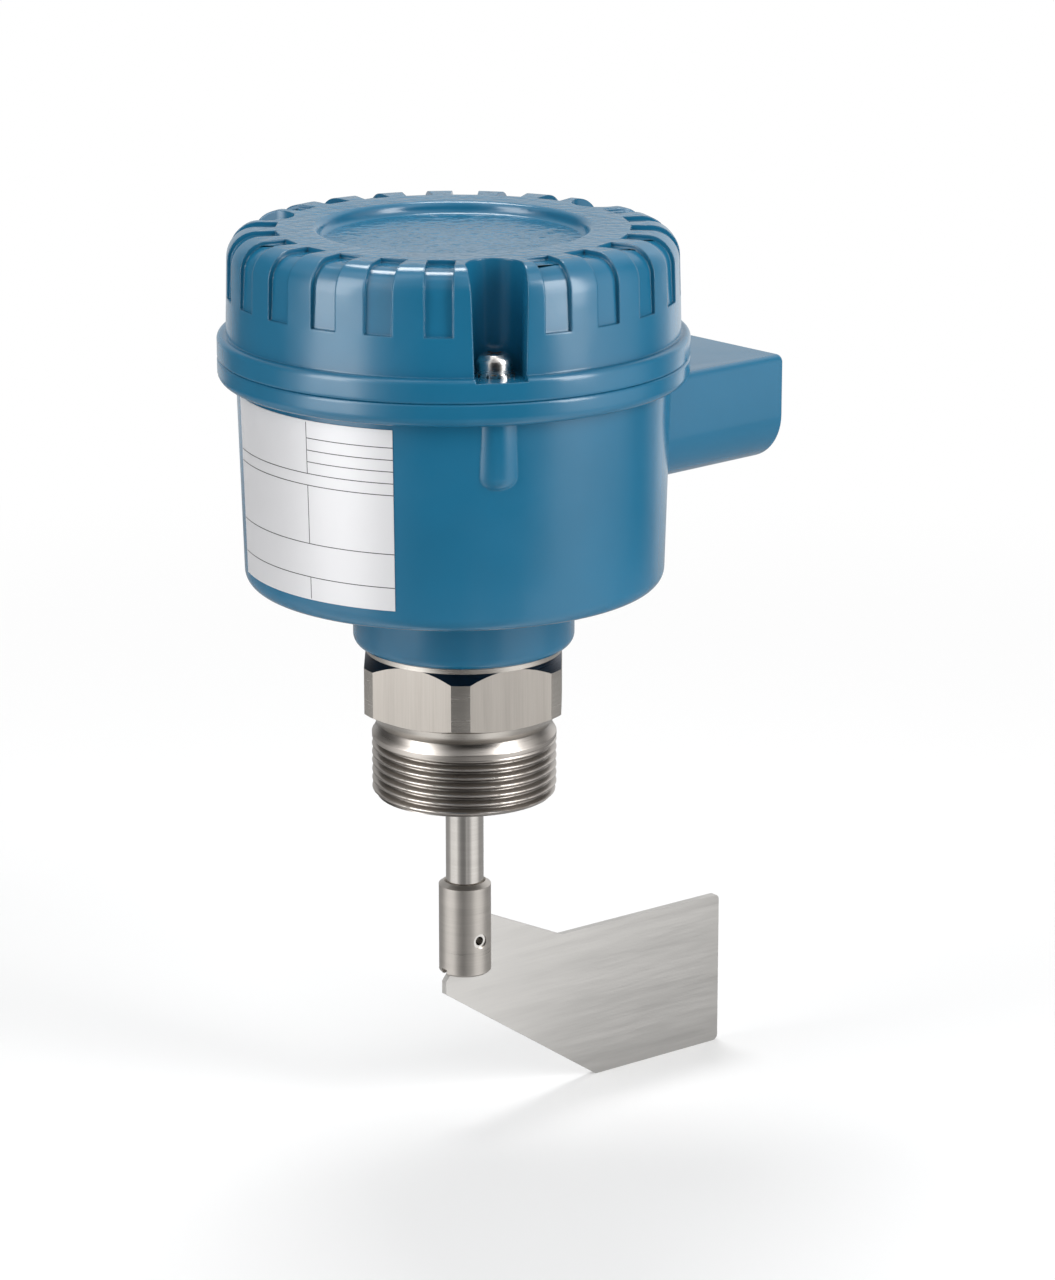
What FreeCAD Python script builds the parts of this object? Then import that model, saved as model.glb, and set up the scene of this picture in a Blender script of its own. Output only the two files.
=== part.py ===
"""Rotary paddle level switch for bulk solids, in millimetres.

The origin lies on the axis of the process thread, at the thread's upper end. +Z points up
to the lid and +X points along the conduit boss. The round housing stands a little off that
axis, away from the boss. The stack is built upwards and downwards from the origin:
thread, hexagon, neck, base, lid above; shaft, sleeve and paddle below.
"""
import FreeCAD, Part
import math
import os
import re
import Sketcher

V = FreeCAD.Vector
UP = V(0, 0, 1)

SIZES = {
    # process connection
    "thread_radius": 23.9,
    "thread_length": 16.9,
    "thread_end_chamfer": 0.7,
    "thread_lead": 1.5,
    "relief_radius": 22.4,
    "relief_height": 1.6,
    "hex_across_flats": 50.4,
    "hex_corner_radius": 27.0,
    "hex_height": 18.9,
    "hex_turn": -13.3,
    "hex_lower_cone": 4.35,
    "hex_upper_cone": 1.8,
    "collar_radius": 25.4,
    "collar_height": 2.1,
    "spigot_radius": 19.95,
    "nut_radius": 25.0,
    "nut_height": 6.0,
    "spigot_rise": 2.0,
    "hub_radius": 16.5,
    "hub_height": 9.0,
    "shaft_bore_radius": 9.0,
    # bearings, seal and rings
    "bearing_radius": 13.0,
    "bearing_height": 8.0,
    "seal_height": 7.0,
    "ring_thickness": 1.2,
    "neck_ring_inner": 21.6,
    "neck_ring_width": 2.0,
    "neck_ring_depth": 1.2,
    # base housing
    "axis_offset": 3.0,
    "neck_radius": 28.5,
    "neck_height": 17.4,
    "neck_round": 3.0,
    "base_height": 59.0,
    "base_round": 4.0,
    "wall_thickness": 5.0,
    "floor_thickness": 5.0,
    "flange_radius": 59.7,
    "flange_lip": 4.7,
    "wall_taper": 1.4,
    "flange_thickness": 6.0,
    "flange_under_round": 2.6,
    "seam_round": 0.7,
    "boss_length": 89.0,
    "boss_half_width": 29.5,
    "boss_height": 29.0,
    "boss_drop": 8.8,
    "boss_corner": 13.0,
    "boss_top_corner": 2.0,
    "boss_wall": 4.0,
    "boss_edge_round": 1.2,
    "boss_root_round": 1.8,
    "entry_radius": 9.2,
    "entry_spacing": 30.0,
    "entry_length": 15.0,
    # lid screws and seam gasket
    "screw_inset": 9.7,
    "column_radius": 6.5,
    "column_length": 16.0,
    "screw_radius": 2.45,
    "screw_depth": 12.0,
    "screw_head_radius": 4.4,
    "screw_head_height": 3.4,
    "spring_washer_radius": 4.3,
    "spring_washer_thickness": 1.2,
    "tooth_washer_radius": 5.0,
    "tooth_washer_thickness": 0.8,
    "gasket_inset": 6.0,
    "gasket_width": 2.5,
    "gasket_lobe_outer": 3.9,
    "gasket_lobe_inner": 6.4,
    "gasket_depth": 1.8,
    # lid
    "lid_height": 32.3,
    "lid_lip": 2.3,
    "shoulder_taper": 0.5,
    "lid_round": 7.4,
    "lid_flange_height": 6.0,
    "lid_flange_round": 1.4,
    "lid_wall": 3.5,
    "lid_side_wall": 5.1,
    "ear_radius": 10.0,
    "recess_radius": 35.6,
    "recess_floor_radius": 32.0,
    "recess_depth": 3.0,
    "notch_count": 24,
    "notch_width": 7.0,
    "notch_depth": 1.2,
    "notch_bottom": 15.8,
    "slot_radius": 6.4,
    "slot_draft": 1.5,
    "slot_floor": 5.0,
    "lid_hole_radius": 2.8,
    # label
    "label_top_gap": 1.7,
    "label_height": 45.7,
    "label_arc": 59.7,
    "label_start": 153.2,
    "label_thickness": 0.2,
    "label_gap": 0.05,
    # shaft and paddle
    "shaft_radius": 4.95,
    "shaft_reach": 51.5,
    "sleeve_radius": 6.85,
    "sleeve_top": 42.0,
    "sleeve_length": 25.0,
    "sleeve_chamfer": 1.0,
    "paddle_turn": -4.8,
    "blade_thickness": 1.8,
    "blade_gap": 0.1,
    "blade_root": 2.0,
    "heel_notch": 1.5,
    "blade_top": 52.6,
    "blade_inner": 6.9,
    "blade_heel": 72.3,
    "blade_heel_height": 3.4,
    "blade_shoulder": 8.55,
    "blade_shoulder_drop": 53.5,
    "blade_elbow": 31.4,
    "blade_upper_edge": 63.9,
    "blade_reach": 86.0,
    "blade_foot_height": 42.4,
    "blade_toe": 43.3,
    "blade_round": 1.6,
    "pin_radius": 2.0,
    "pin_bore": 1.2,
    "pin_drop": 57.4,
    # swinging motor
    "yoke_radius": 23.0,
    "yoke_sheet": 2.0,
    "yoke_height": 21.7,
    "yoke_leg_out": 29.0,
    "yoke_leg_half": 13.0,
    "yoke_top_half": 15.0,
    "tongue_reach": 33.0,
    "tongue_low": 4.0,
    "tongue_high": 11.5,
    "trip_radius": 30.0,
    "trip_pin_radius": 1.5,
    "trip_pin_height": 15.0,
    "stud_x": 29.0,
    "stud_y": 7.8,
    "stud_radius": 1.2,
    "stud_height": 5.6,
    "gear_radius": 21.5,
    "gear_height": 10.5,
    "lug_radius": 4.0,
    "lug_reach": 24.3,
    "lug_height": 3.0,
    "can_radius": 20.5,
    "can_height": 12.6,
    "can_round": 2.0,
    "can_cap_radius": 7.0,
    "can_cap_height": 0.8,
    "motor_shaft_radius": 3.0,
    "coupling_radius": 8.5,
    "coupling_height": 9.6,
    "coupling_gap": 0.6,
    # switches
    "switch_x": 16.0,
    "switch_length": 20.0,
    "switch_face": 9.4,
    "switch_depth": 10.0,
    "switch_thickness": 6.4,
    "shelf_gap": 1.9,
    "bracket_sheet": 1.5,
    "bracket_wall_y": 22.5,
    "bracket_foot": 8.0,
    "foot_hole_near": 4.0,
    "foot_hole_far": 5.0,
    "foot_screw_radius": 1.5,
    "foot_screw_head": 2.5,
    "foot_screw_play": 0.05,
    "switch_hole_end": 5.2,
    "switch_hole_back": 3.0,
    "switch_screw_radius": 1.1,
    "switch_screw_head": 1.9,
    "switch_screw_play": 0.05,
    "switch_tab_width": 2.8,
    "switch_tab_sheet": 0.5,
    "switch_tab_length": 3.4,
    "switch_tab_end": 3.4,
    "lever_pivot_x": 17.5,
    "lever_pivot_y": 7.9,
    "lever_length": 16.0,
    "lever_sheet": 0.5,
    "lever_height": 4.0,
    "lever_eye": 1.1,
    "lever_bore": 0.55,
    "signal_lever_angle": 23.5,
    "stop_lever_angle": 11.0,
    # return spring
    "post_x": 22.3,
    "post_y": 33.5,
    "post_radius": 2.5,
    "spring_radius": 2.4,
    "spring_wire": 0.35,
    "spring_turns": 14,
    # terminal board
    "board_gap": 4.1,
    "board_margin": 5.0,
    "pillar_inset": 4.0,
    "pillar_radius": 3.5,
    "board_thickness": 1.6,
    "board_cutout": 13.0,
    "board_screw_radius": 1.6,
    "block_length": 25.4,
    "block_width": 10.0,
    "block_height": 12.0,
    "block_x": 21.5,
    "block_gap": 0.9,
    "poles": 5,
    "pole_pitch": 5.0,
    "mouth_half": 1.5,
    "mouth_low": 1.6,
    "mouth_high": 5.0,
    "mouth_depth": 5.5,
    "well_radius": 1.8,
    "well_depth": 3.7,
    "relay_inset": 14.0,
    "relay_y": -27.0,
    "relay_width": 12.5,
    "relay_length": 29.0,
    "relay_height": 11.0,
    "transformer_x": -12.0,
    "transformer_y": 4.0,
    "transformer_width": 24.0,
    "transformer_length": 22.0,
    "transformer_height": 13.0,
    "capacitor_inset": 11.0,
    "capacitor_y": 12.0,
    "capacitor_width": 11.0,
    "capacitor_length": 18.0,
    "capacitor_height": 9.0,
    "earth_x": 33.0,
    "earth_half": 5.0,
    "earth_thickness": 1.6,
    "earth_screw_radius": 2.0,
}

# Lengths that follow from the sizes
FOLLOWS = {
    "base_wall_radius": "flange_radius - flange_lip",
    "base_foot_radius": "base_wall_radius - wall_taper",
    "screw_circle": "flange_radius - screw_inset",
    "gasket_outer": "flange_radius - gasket_inset",
    "gasket_inner": "gasket_outer - gasket_width",
    "lid_skirt_radius": "flange_radius - lid_lip",
    "lid_shoulder_radius": "lid_skirt_radius - shoulder_taper",
    "lid_cavity_radius": "lid_shoulder_radius - lid_side_wall",
    "board_radius": "base_wall_radius - wall_thickness - board_margin",
    "pillar_circle": "board_radius - pillar_inset",
    "relay_x": "relay_inset - board_radius",
    "capacitor_x": "capacitor_inset - board_radius",
}

# Drawn length of the lines that profiles are turned about, which moves nothing
AXIS_LINE = 10

DOC = FreeCAD.newDocument("rotary_paddle_level_switch")
SHEET = DOC.addObject("Spreadsheet::Sheet", "Sizes")
for row, (alias, number) in enumerate(SIZES.items(), 1):
    SHEET.set(f"A{row}", alias.replace("_", " "))
    SHEET.set(f"B{row}", str(number))
    SHEET.setAlias(f"B{row}", alias)
DOC.recompute()

# Levels along Z, stacked from the thread's upper end
HEX_TOP = "(relief_height + hex_height)"
COLLAR_TOP = f"({HEX_TOP} + collar_height)"
BASE_BOTTOM = f"({COLLAR_TOP} + neck_height)"
FLOOR = f"({BASE_BOTTOM} + floor_thickness)"
SEAM = f"({BASE_BOTTOM} + base_height)"
FLANGE_BOTTOM = f"({SEAM} - flange_thickness)"
LID_TOP = f"({SEAM} + lid_height)"
LID_CEILING = f"({LID_TOP} - recess_depth - lid_wall)"
SPIGOT_TOP = f"({FLOOR} + nut_height + spigot_rise)"
HUB_TOP = f"({SPIGOT_TOP} + hub_height)"
BEARING_TOP = f"({HUB_TOP} - 0.8 - ring_thickness)"
THREAD_END = "(0 - thread_length - thread_end_chamfer)"
YOKE_BOTTOM = f"({SPIGOT_TOP} + 0.3)"
YOKE_FLOOR = f"({YOKE_BOTTOM} + yoke_sheet)"
YOKE_TOP = f"({YOKE_BOTTOM} + yoke_height)"
GEAR_TOP = f"({YOKE_TOP} + gear_height)"
SHELF_BOTTOM = f"({YOKE_FLOOR} + shelf_gap)"
SHELF_TOP = f"({SHELF_BOTTOM} + bracket_sheet)"
CAN_TOP = f"({GEAR_TOP} + can_height)"
BOARD_BOTTOM = f"({CAN_TOP} + can_cap_height + board_gap)"
BOARD_TOP = f"({BOARD_BOTTOM} + board_thickness)"
BOSS_TOP = f"({SEAM} - boss_drop)"
BOSS_BOTTOM = f"({BOSS_TOP} - boss_height)"
ENTRY_LEVEL = f"({BOSS_TOP} - boss_height / 2)"
HOUSING_X = "(0 - axis_offset)"


def spelled(text):
    """Writes out the lengths that follow from others, until only sizes are left."""
    while any(name in FOLLOWS for name in re.findall(r"[a-z_]+", text)):
        text = re.sub(r"[a-z_]+", lambda m: f"({FOLLOWS[m[0]]})" if m[0] in FOLLOWS else m[0], text)
    return text


def bound(text):
    """Turns a formula of size names into one that other objects can be bound to."""
    return re.sub(r"[a-z_]+", lambda m: "Sizes." + m[0] if m[0] in SIZES else m[0], spelled(text))


def value(text):
    """The number that a formula of size names gives now."""
    return float(SHEET.evalExpression(spelled(text)))


def plane(body, role):
    return next(f for f in body.Origin.OriginFeatures if f.Role == role)


def new_body(label, x="0", y="0", turn=None):
    """A body of its own, moved in plan and turned about its upright axis."""
    body = DOC.addObject("PartDesign::Body", label)
    body.Label = label
    if turn is not None:
        body.Placement = FreeCAD.Placement(V(), FreeCAD.Rotation(UP, value(turn)))
        body.setExpression("Placement.Rotation.Angle", bound(turn))
    for axis, text in (("x", x), ("y", y)):
        if text != "0":
            body.setExpression(f"Placement.Base.{axis}", bound(text))
    return body


def new_sketch(body, role="XZ_Plane", offset="0"):
    sketch = body.newObject("Sketcher::SketchObject", "sketch")
    sketch.AttachmentSupport = (plane(body, role), [""])
    sketch.MapMode = "FlatFace"
    if offset != "0":
        sketch.setExpression("AttachmentOffset.Base.z", bound(offset))
    return sketch


def fix(sketch, kind, places, text):
    """Adds a dimension to a sketch and binds it to a formula."""
    index = sketch.addConstraint(Sketcher.Constraint(kind, *places, value(text)))
    sketch.setExpression(f"Constraints[{index}]", bound(text))


def outline(sketch, start, *steps):
    """Closed outline of lines (x, y) and arcs (x, y, centre x, centre y, 'left' or 'right')."""
    corners = [start[:2]] + [step[:2] for step in steps]
    points = [V(value(x), value(y), 0) for x, y in corners]
    moves = list(steps) + [start]
    ends = []
    for index, step in enumerate(moves):
        begin = points[index]
        finish = points[(index + 1) % len(points)]
        if len(step) < 5:
            edge = sketch.addGeometry(Part.LineSegment(begin, finish), False)
            ends.append((edge, 1, 2))
            continue
        _, _, centre_x, centre_y, side = step
        centre = V(value(centre_x), value(centre_y), 0)
        first, last = (begin, finish) if side == "left" else (finish, begin)
        low = math.atan2(first.y - centre.y, first.x - centre.x)
        high = math.atan2(last.y - centre.y, last.x - centre.x)
        circle = Part.Circle(centre, UP, (first - centre).Length)
        edge = sketch.addGeometry(Part.ArcOfCircle(circle, low, high), False)
        level = abs(finish.x - begin.x) > abs(finish.y - begin.y)
        fix(sketch, "DistanceY" if level else "DistanceX", (-1, 1, edge, 3), centre_y if level else centre_x)
        ends.append((edge, 1, 2) if side == "left" else (edge, 2, 1))
    for index, (edge, _, last) in enumerate(ends):
        after, first, _ = ends[(index + 1) % len(ends)]
        sketch.addConstraint(Sketcher.Constraint("Coincident", edge, last, after, first))
    for (x, y), (edge, first, _) in zip(corners, ends):
        fix(sketch, "DistanceX", (-1, 1, edge, first), x)
        fix(sketch, "DistanceY", (-1, 1, edge, first), y)


def circle(sketch, x, y, radius):
    edge = sketch.addGeometry(Part.Circle(V(value(x), value(y), 0), UP, value(radius)), False)
    fix(sketch, "Radius", (edge,), radius)
    fix(sketch, "DistanceX", (-1, 1, edge, 3), x)
    fix(sketch, "DistanceY", (-1, 1, edge, 3), y)


def rectangle(sketch, x_low, y_low, x_high, y_high):
    outline(sketch, (x_low, y_low), (x_high, y_low), (x_high, y_high), (x_low, y_high))


def upright_axis(sketch, x):
    """A construction line at the given x, to turn a profile about."""
    edge = sketch.addGeometry(Part.LineSegment(V(value(x), 0, 0), V(value(x), AXIS_LINE, 0)), True)
    fix(sketch, "DistanceX", (-1, 1, edge, 1), x)
    fix(sketch, "DistanceX", (-1, 1, edge, 2), x)
    fix(sketch, "DistanceY", (-1, 1, edge, 1), "0")
    fix(sketch, "DistanceY", (-1, 1, edge, 2), str(AXIS_LINE))


def turned(body, sketch, axis="V_Axis", kind="PartDesign::Revolution", angle="360"):
    feature = body.newObject(kind, "turned")
    feature.Profile = sketch
    feature.ReferenceAxis = (sketch, [axis])
    feature.Angle = value(angle)
    if angle != "360":
        feature.setExpression("Angle", bound(angle))
    return feature


def pad(body, sketch, length, middle=False):
    feature = body.newObject("PartDesign::Pad", "pad")
    feature.Profile = sketch
    feature.setExpression("Length", bound(length))
    feature.Midplane = middle
    return feature


def pocket(body, sketch, length=None, forward=False, middle=False):
    """Cuts against the sketch's normal, or along it with forward; no length cuts through."""
    feature = body.newObject("PartDesign::Pocket", "pocket")
    feature.Profile = sketch
    feature.Reversed = forward
    feature.Midplane = middle
    if length is None:
        feature.Type = "ThroughAll"
    else:
        feature.setExpression("Length", bound(length))
    return feature


def fillet(body, feature, radius, chosen):
    """Rounds the edges of a feature whose bounding boxes are chosen."""
    DOC.recompute()
    names = [f"Edge{number}" for number, edge in enumerate(feature.Shape.Edges, 1) if chosen(edge.BoundBox)]
    rounding = body.newObject("PartDesign::Fillet", "fillet")
    rounding.Base = (feature, names)
    rounding.setExpression("Radius", bound(radius))
    return rounding


def ring_of(body, feature, count):
    """Repeats a feature round the body's upright axis."""
    pattern = body.newObject("PartDesign::PolarPattern", "ring")
    pattern.Originals = [feature]
    pattern.Axis = (plane(body, "Z_Axis"), [""])
    pattern.Angle = 360
    if isinstance(count, str):
        pattern.setExpression("Occurrences", bound(count))
    else:
        pattern.Occurrences = count
    body.Tip = pattern
    return pattern


def group(label, members):
    """Identical fasteners as one node of separate solids."""
    compound = DOC.addObject("Part::Compound", label)
    compound.Label = label
    compound.Links = members
    return compound


def turned_copy(x, y, angle):
    """Formulas for a point turned about the origin by a plain number of degrees."""
    if angle == 0:
        return x, y
    return f"({x})*cos({angle}) - ({y})*sin({angle})", f"({x})*sin({angle}) + ({y})*cos({angle})"


def bulged(x, y, next_x, next_y):
    """A step to the next point that swells a little to the right of a straight line."""
    centre_x = f"(({x}) + ({next_x})) / 2 - 6 * (({next_y}) - ({y}))"
    centre_y = f"(({y}) + ({next_y})) / 2 + 6 * (({next_x}) - ({x}))"
    return next_x, next_y, centre_x, centre_y, "left"


def lobed_outline(sketch, ring, lobe):
    """A circle about the housing axis that steps inwards round each of the three lid screws."""
    meet = f"(({ring})^2 + screw_circle^2 - ({lobe})^2) / (2 * screw_circle)"
    half = f"sqrt(({ring})^2 - ({meet})^2)"
    steps = []
    for angle in (0, 120, 240):
        low_x, low_y = turned_copy(meet, f"0 - {half}", angle)
        high_x, high_y = turned_copy(meet, half, angle)
        centre_x, centre_y = turned_copy("screw_circle", "0", angle)
        steps.append((low_x, low_y, "0", "0", "left"))
        steps.append((high_x, high_y, centre_x, centre_y, "right"))
    first = steps[0]
    outline(sketch, first, *steps[1:])


def tube(label, inner, outer, low, high, x="0", y="0"):
    """A plain ring or bush of rectangular section."""
    body = new_body(label, x, y)
    sketch = new_sketch(body)
    rectangle(sketch, inner, low, outer, high)
    turned(body, sketch)
    return body


# Process connection

def process_connection():
    """Stainless body: thread, relief, hexagon, collar, spigot through the neck, bearing hub."""
    body = new_body("process_connection")
    sketch = new_sketch(body)
    bearing_shoulder = f"{THREAD_END} + seal_height + bearing_height"
    upper_shoulder = f"{BEARING_TOP} - bearing_height"
    seat = "(bearing_radius + 0.02)"
    outline(
        sketch,
        (seat, THREAD_END),
        ("thread_radius - thread_end_chamfer", THREAD_END),
        ("thread_radius", "0 - thread_length"),
        ("thread_radius", "0"),
        ("relief_radius", "thread_lead"),
        ("relief_radius", "relief_height"),
        bulged("relief_radius", "relief_height", "hex_corner_radius", "relief_height + hex_lower_cone"),
        ("hex_corner_radius", f"{HEX_TOP} - hex_upper_cone"),
        bulged("hex_corner_radius", f"{HEX_TOP} - hex_upper_cone", "collar_radius", HEX_TOP),
        ("collar_radius", COLLAR_TOP),
        ("spigot_radius", COLLAR_TOP),
        ("spigot_radius", SPIGOT_TOP),
        ("hub_radius", SPIGOT_TOP),
        ("hub_radius", HUB_TOP),
        (seat, HUB_TOP),
        (seat, upper_shoulder),
        ("shaft_bore_radius", upper_shoulder),
        ("shaft_bore_radius", bearing_shoulder),
        (seat, bearing_shoulder),
    )
    turned(body, sketch)
    flats = new_sketch(body, "XY_Plane")
    circle(flats, "0", "0", "hex_corner_radius + 4")
    corner = "hex_across_flats / 2 / cos(30)"
    corners = [(f"{corner} * cos(hex_turn + {a})", f"{corner} * sin(hex_turn + {a})") for a in range(0, 360, 60)]
    outline(flats, corners[0], *corners[1:])
    pocket(body, flats, HEX_TOP, forward=True)
    grooves = new_sketch(body)
    rectangle(grooves, "neck_ring_inner", f"{COLLAR_TOP} - neck_ring_depth",
              "neck_ring_inner + neck_ring_width", f"{COLLAR_TOP} + 1")
    rectangle(grooves, "bearing_radius - 1", BEARING_TOP, "bearing_radius + 0.7",
              f"{BEARING_TOP} + ring_thickness")
    rectangle(grooves, "hub_radius - 0.7", f"{YOKE_FLOOR} + 0.3", "hub_radius + 1",
              f"{YOKE_FLOOR} + 0.3 + ring_thickness")
    turned(body, grooves, kind="PartDesign::Groove")
    return body


def rings_and_bearings():
    """Ball bearings, shaft seal, retaining rings, round nut and the ring under the neck."""
    parts = []
    levels = {"lower_bearing": f"{THREAD_END} + seal_height", "upper_bearing": f"{BEARING_TOP} - bearing_height"}
    for label, low in levels.items():
        body = new_body(label)
        sketch = new_sketch(body)
        rectangle(sketch, "shaft_radius + 0.03", low, "bearing_radius", f"{low} + bearing_height")
        turned(body, sketch)
        shields = new_sketch(body)
        for level in (low, f"{low} + bearing_height - 0.6"):
            rectangle(shields, "shaft_radius + 2.2", level, "bearing_radius - 2.2", f"{level} + 0.6")
        turned(body, shields, kind="PartDesign::Groove")
        parts.append(body)
    seal = new_body("shaft_seal")
    sketch = new_sketch(body=seal)
    outline(
        sketch,
        ("shaft_radius + 0.04", f"{THREAD_END} + 2.6"),
        ("shaft_radius + 1.0", f"{THREAD_END} + 0.6"),
        ("shaft_radius + 2.2", f"{THREAD_END} + 0.6"),
        ("shaft_radius + 3.0", f"{THREAD_END} + 2.4"),
        ("bearing_radius - 2.0", f"{THREAD_END} + 2.4"),
        ("bearing_radius - 1.4", f"{THREAD_END} + 0.3"),
        ("bearing_radius", f"{THREAD_END} + 0.3"),
        ("bearing_radius", f"{THREAD_END} + seal_height"),
        ("shaft_radius + 2.0", f"{THREAD_END} + seal_height"),
        ("shaft_radius + 0.04", f"{THREAD_END} + 3.4"),
    )
    turned(seal, sketch)
    parts.append(seal)
    parts.append(tube("bearing_ring", "bearing_radius - 1.8", "bearing_radius + 0.65",
                      BEARING_TOP, f"{BEARING_TOP} + ring_thickness - 0.02"))
    ring_low = f"{YOKE_FLOOR} + 0.31"
    parts.append(tube("yoke_ring", "hub_radius - 0.65", "hub_radius + 2.4",
                      ring_low, f"{ring_low} + ring_thickness - 0.04"))
    parts.append(tube("neck_ring", "neck_ring_inner + 0.05", "neck_ring_inner + neck_ring_width - 0.05",
                      f"{COLLAR_TOP} - neck_ring_depth", f"{COLLAR_TOP} - 0.02"))
    nut = tube("neck_nut", "spigot_radius + 0.03", "nut_radius", FLOOR, f"{FLOOR} + nut_height")
    notch = new_sketch(nut, "XY_Plane", f"{FLOOR} + nut_height")
    rectangle(notch, "nut_radius - 2", "0 - 2.5", "nut_radius + 2", "2.5")
    ring_of(nut, pocket(nut, notch, "nut_height"), 4)
    parts.append(nut)
    return parts


# Base housing

def base_housing():
    """Cast cup with a rounded foot, offset neck, conduit boss, screw columns and seam groove."""
    body = new_body("base_housing", HOUSING_X)
    sketch = new_sketch(body)
    foot = f"{BASE_BOTTOM} + base_round"
    outline(
        sketch,
        ("0", BASE_BOTTOM),
        ("base_foot_radius - base_round", BASE_BOTTOM),
        ("base_foot_radius", foot, "base_foot_radius - base_round", foot, "left"),
        ("base_wall_radius", FLANGE_BOTTOM),
        ("flange_radius - flange_under_round", FLANGE_BOTTOM),
        ("flange_radius", f"{FLANGE_BOTTOM} + flange_under_round",
         "flange_radius - flange_under_round", f"{FLANGE_BOTTOM} + flange_under_round", "left"),
        ("flange_radius", f"{SEAM} - seam_round"),
        ("flange_radius - seam_round", SEAM,
         "flange_radius - seam_round", f"{SEAM} - seam_round", "left"),
        ("0", SEAM),
    )
    turned(body, sketch)

    neck = new_sketch(body)
    upright_axis(neck, "axis_offset")
    side = "axis_offset + neck_radius"
    outline(
        neck,
        ("axis_offset", COLLAR_TOP),
        (f"{side} - neck_round", COLLAR_TOP),
        (side, f"{COLLAR_TOP} + neck_round", f"{side} - neck_round", f"{COLLAR_TOP} + neck_round", "left"),
        (side, f"{BASE_BOTTOM} + 1"),
        ("axis_offset", f"{BASE_BOTTOM} + 1"),
    )
    turned(body, neck, axis="Axis0")

    root = "(base_wall_radius - 25)"
    boss = new_sketch(body, "YZ_Plane", root)
    rounded_channel(boss, "boss_half_width", BOSS_BOTTOM, BOSS_TOP, "boss_corner", "boss_top_corner")
    boss_pad = pad(body, boss, f"boss_length - {root}")
    end = value("boss_length")
    rounded = fillet(body, boss_pad, "boss_edge_round", lambda box: box.XMin > end - 0.01)
    side = value("boss_half_width")
    reach = value("flange_radius - flange_lip - 0.5 * wall_taper")
    high = value(BOSS_TOP)
    fillet(body, rounded, "boss_root_round",
           lambda box: box.XMax < reach + 1 and box.XMin > reach / 2 and box.ZMax < high + 0.01
           and box.YMin > -side - 0.01 and box.YMax < side + 0.01 and box.DiagonalLength > 1)

    inside = new_sketch(body)
    low_radius = "(base_foot_radius - wall_thickness)"
    outline(
        inside,
        ("0", FLOOR),
        (f"{low_radius} - 3", FLOOR),
        (low_radius, f"{FLOOR} + 3", f"{low_radius} - 3", f"{FLOOR} + 3", "left"),
        ("base_wall_radius - wall_thickness", FLANGE_BOTTOM),
        ("base_wall_radius - wall_thickness", f"{SEAM} + 1"),
        ("0", f"{SEAM} + 1"),
    )
    turned(body, inside, kind="PartDesign::Groove")

    room = new_sketch(body, "YZ_Plane", root)
    rounded_channel(room, "boss_half_width - boss_wall", f"{BOSS_BOTTOM} + boss_wall",
                    f"{BOSS_TOP} - boss_wall", "boss_corner - boss_wall", "boss_top_corner")
    pocket(body, room, f"boss_length - entry_length - {root}", forward=True)

    column = new_sketch(body)
    upright_axis(column, "screw_circle")
    column_low = f"{SEAM} - column_length"
    edge = "screw_circle + column_radius"
    outline(
        column,
        ("screw_circle", column_low),
        (edge, f"{column_low} + column_radius", "screw_circle", f"{column_low} + column_radius", "left"),
        (edge, f"{SEAM} - flange_thickness / 2"),
        ("screw_circle", f"{SEAM} - flange_thickness / 2"),
    )
    ring_of(body, turned(body, column, axis="Axis0"), 3)
    top = new_sketch(body, "XY_Plane", SEAM)
    circle(top, "screw_circle", "0", "column_radius")
    ring_of(body, pad_down(body, top, "flange_thickness"), 3)

    hole = new_sketch(body, "XY_Plane", SEAM)
    circle(hole, "screw_circle", "0", "screw_radius + 0.05")
    ring_of(body, pocket(body, hole, "screw_depth + 2"), 3)

    seal = new_sketch(body, "XY_Plane", SEAM)
    lobed_outline(seal, "gasket_outer", "gasket_lobe_outer")
    lobed_outline(seal, "gasket_inner", "gasket_lobe_inner")
    pocket(body, seal, "gasket_depth")

    bore = new_sketch(body, "XY_Plane", f"{FLOOR} + 1")
    circle(bore, "axis_offset", "0", "spigot_radius + 0.05")
    pocket(body, bore)

    entries = new_sketch(body, "YZ_Plane", "boss_length - entry_length - 2")
    for sign in ("0 - ", ""):
        circle(entries, f"{sign}entry_spacing / 2", ENTRY_LEVEL, "entry_radius")
    pocket(body, entries, "entry_length + 6", forward=True)
    return body


def pad_down(body, sketch, length):
    feature = pad(body, sketch, length)
    feature.Reversed = True
    return feature


def rounded_channel(sketch, half, low, high, corner, top_corner):
    """A box section with large lower corners and small upper ones."""
    left = f"0 - ({half})"
    outline(
        sketch,
        (f"{left} + {corner}", low, f"{left} + {corner}", f"{low} + {corner}", "left"),
        (f"{half} - ({corner})", low),
        (half, f"{low} + {corner}", f"{half} - ({corner})", f"{low} + {corner}", "left"),
        (half, f"{high} - {top_corner}"),
        (f"{half} - {top_corner}", high, f"{half} - {top_corner}", f"{high} - {top_corner}", "left"),
        (f"{left} + {top_corner}", high),
        (left, f"{high} - {top_corner}", f"{left} + {top_corner}", f"{high} - {top_corner}", "left"),
        (left, f"{low} + {corner}"),
    )


def lid_gasket():
    """Rubber cord in the seam groove, following the wall and stepping inside the screws."""
    body = new_body("lid_gasket", HOUSING_X)
    sketch = new_sketch(body, "XY_Plane", f"{SEAM} - gasket_depth")
    lobed_outline(sketch, "gasket_outer - 0.1", "gasket_lobe_outer + 0.1")
    lobed_outline(sketch, "gasket_inner + 0.1", "gasket_lobe_inner - 0.1")
    pad(body, sketch, "gasket_depth - 0.05")
    return body


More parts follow.
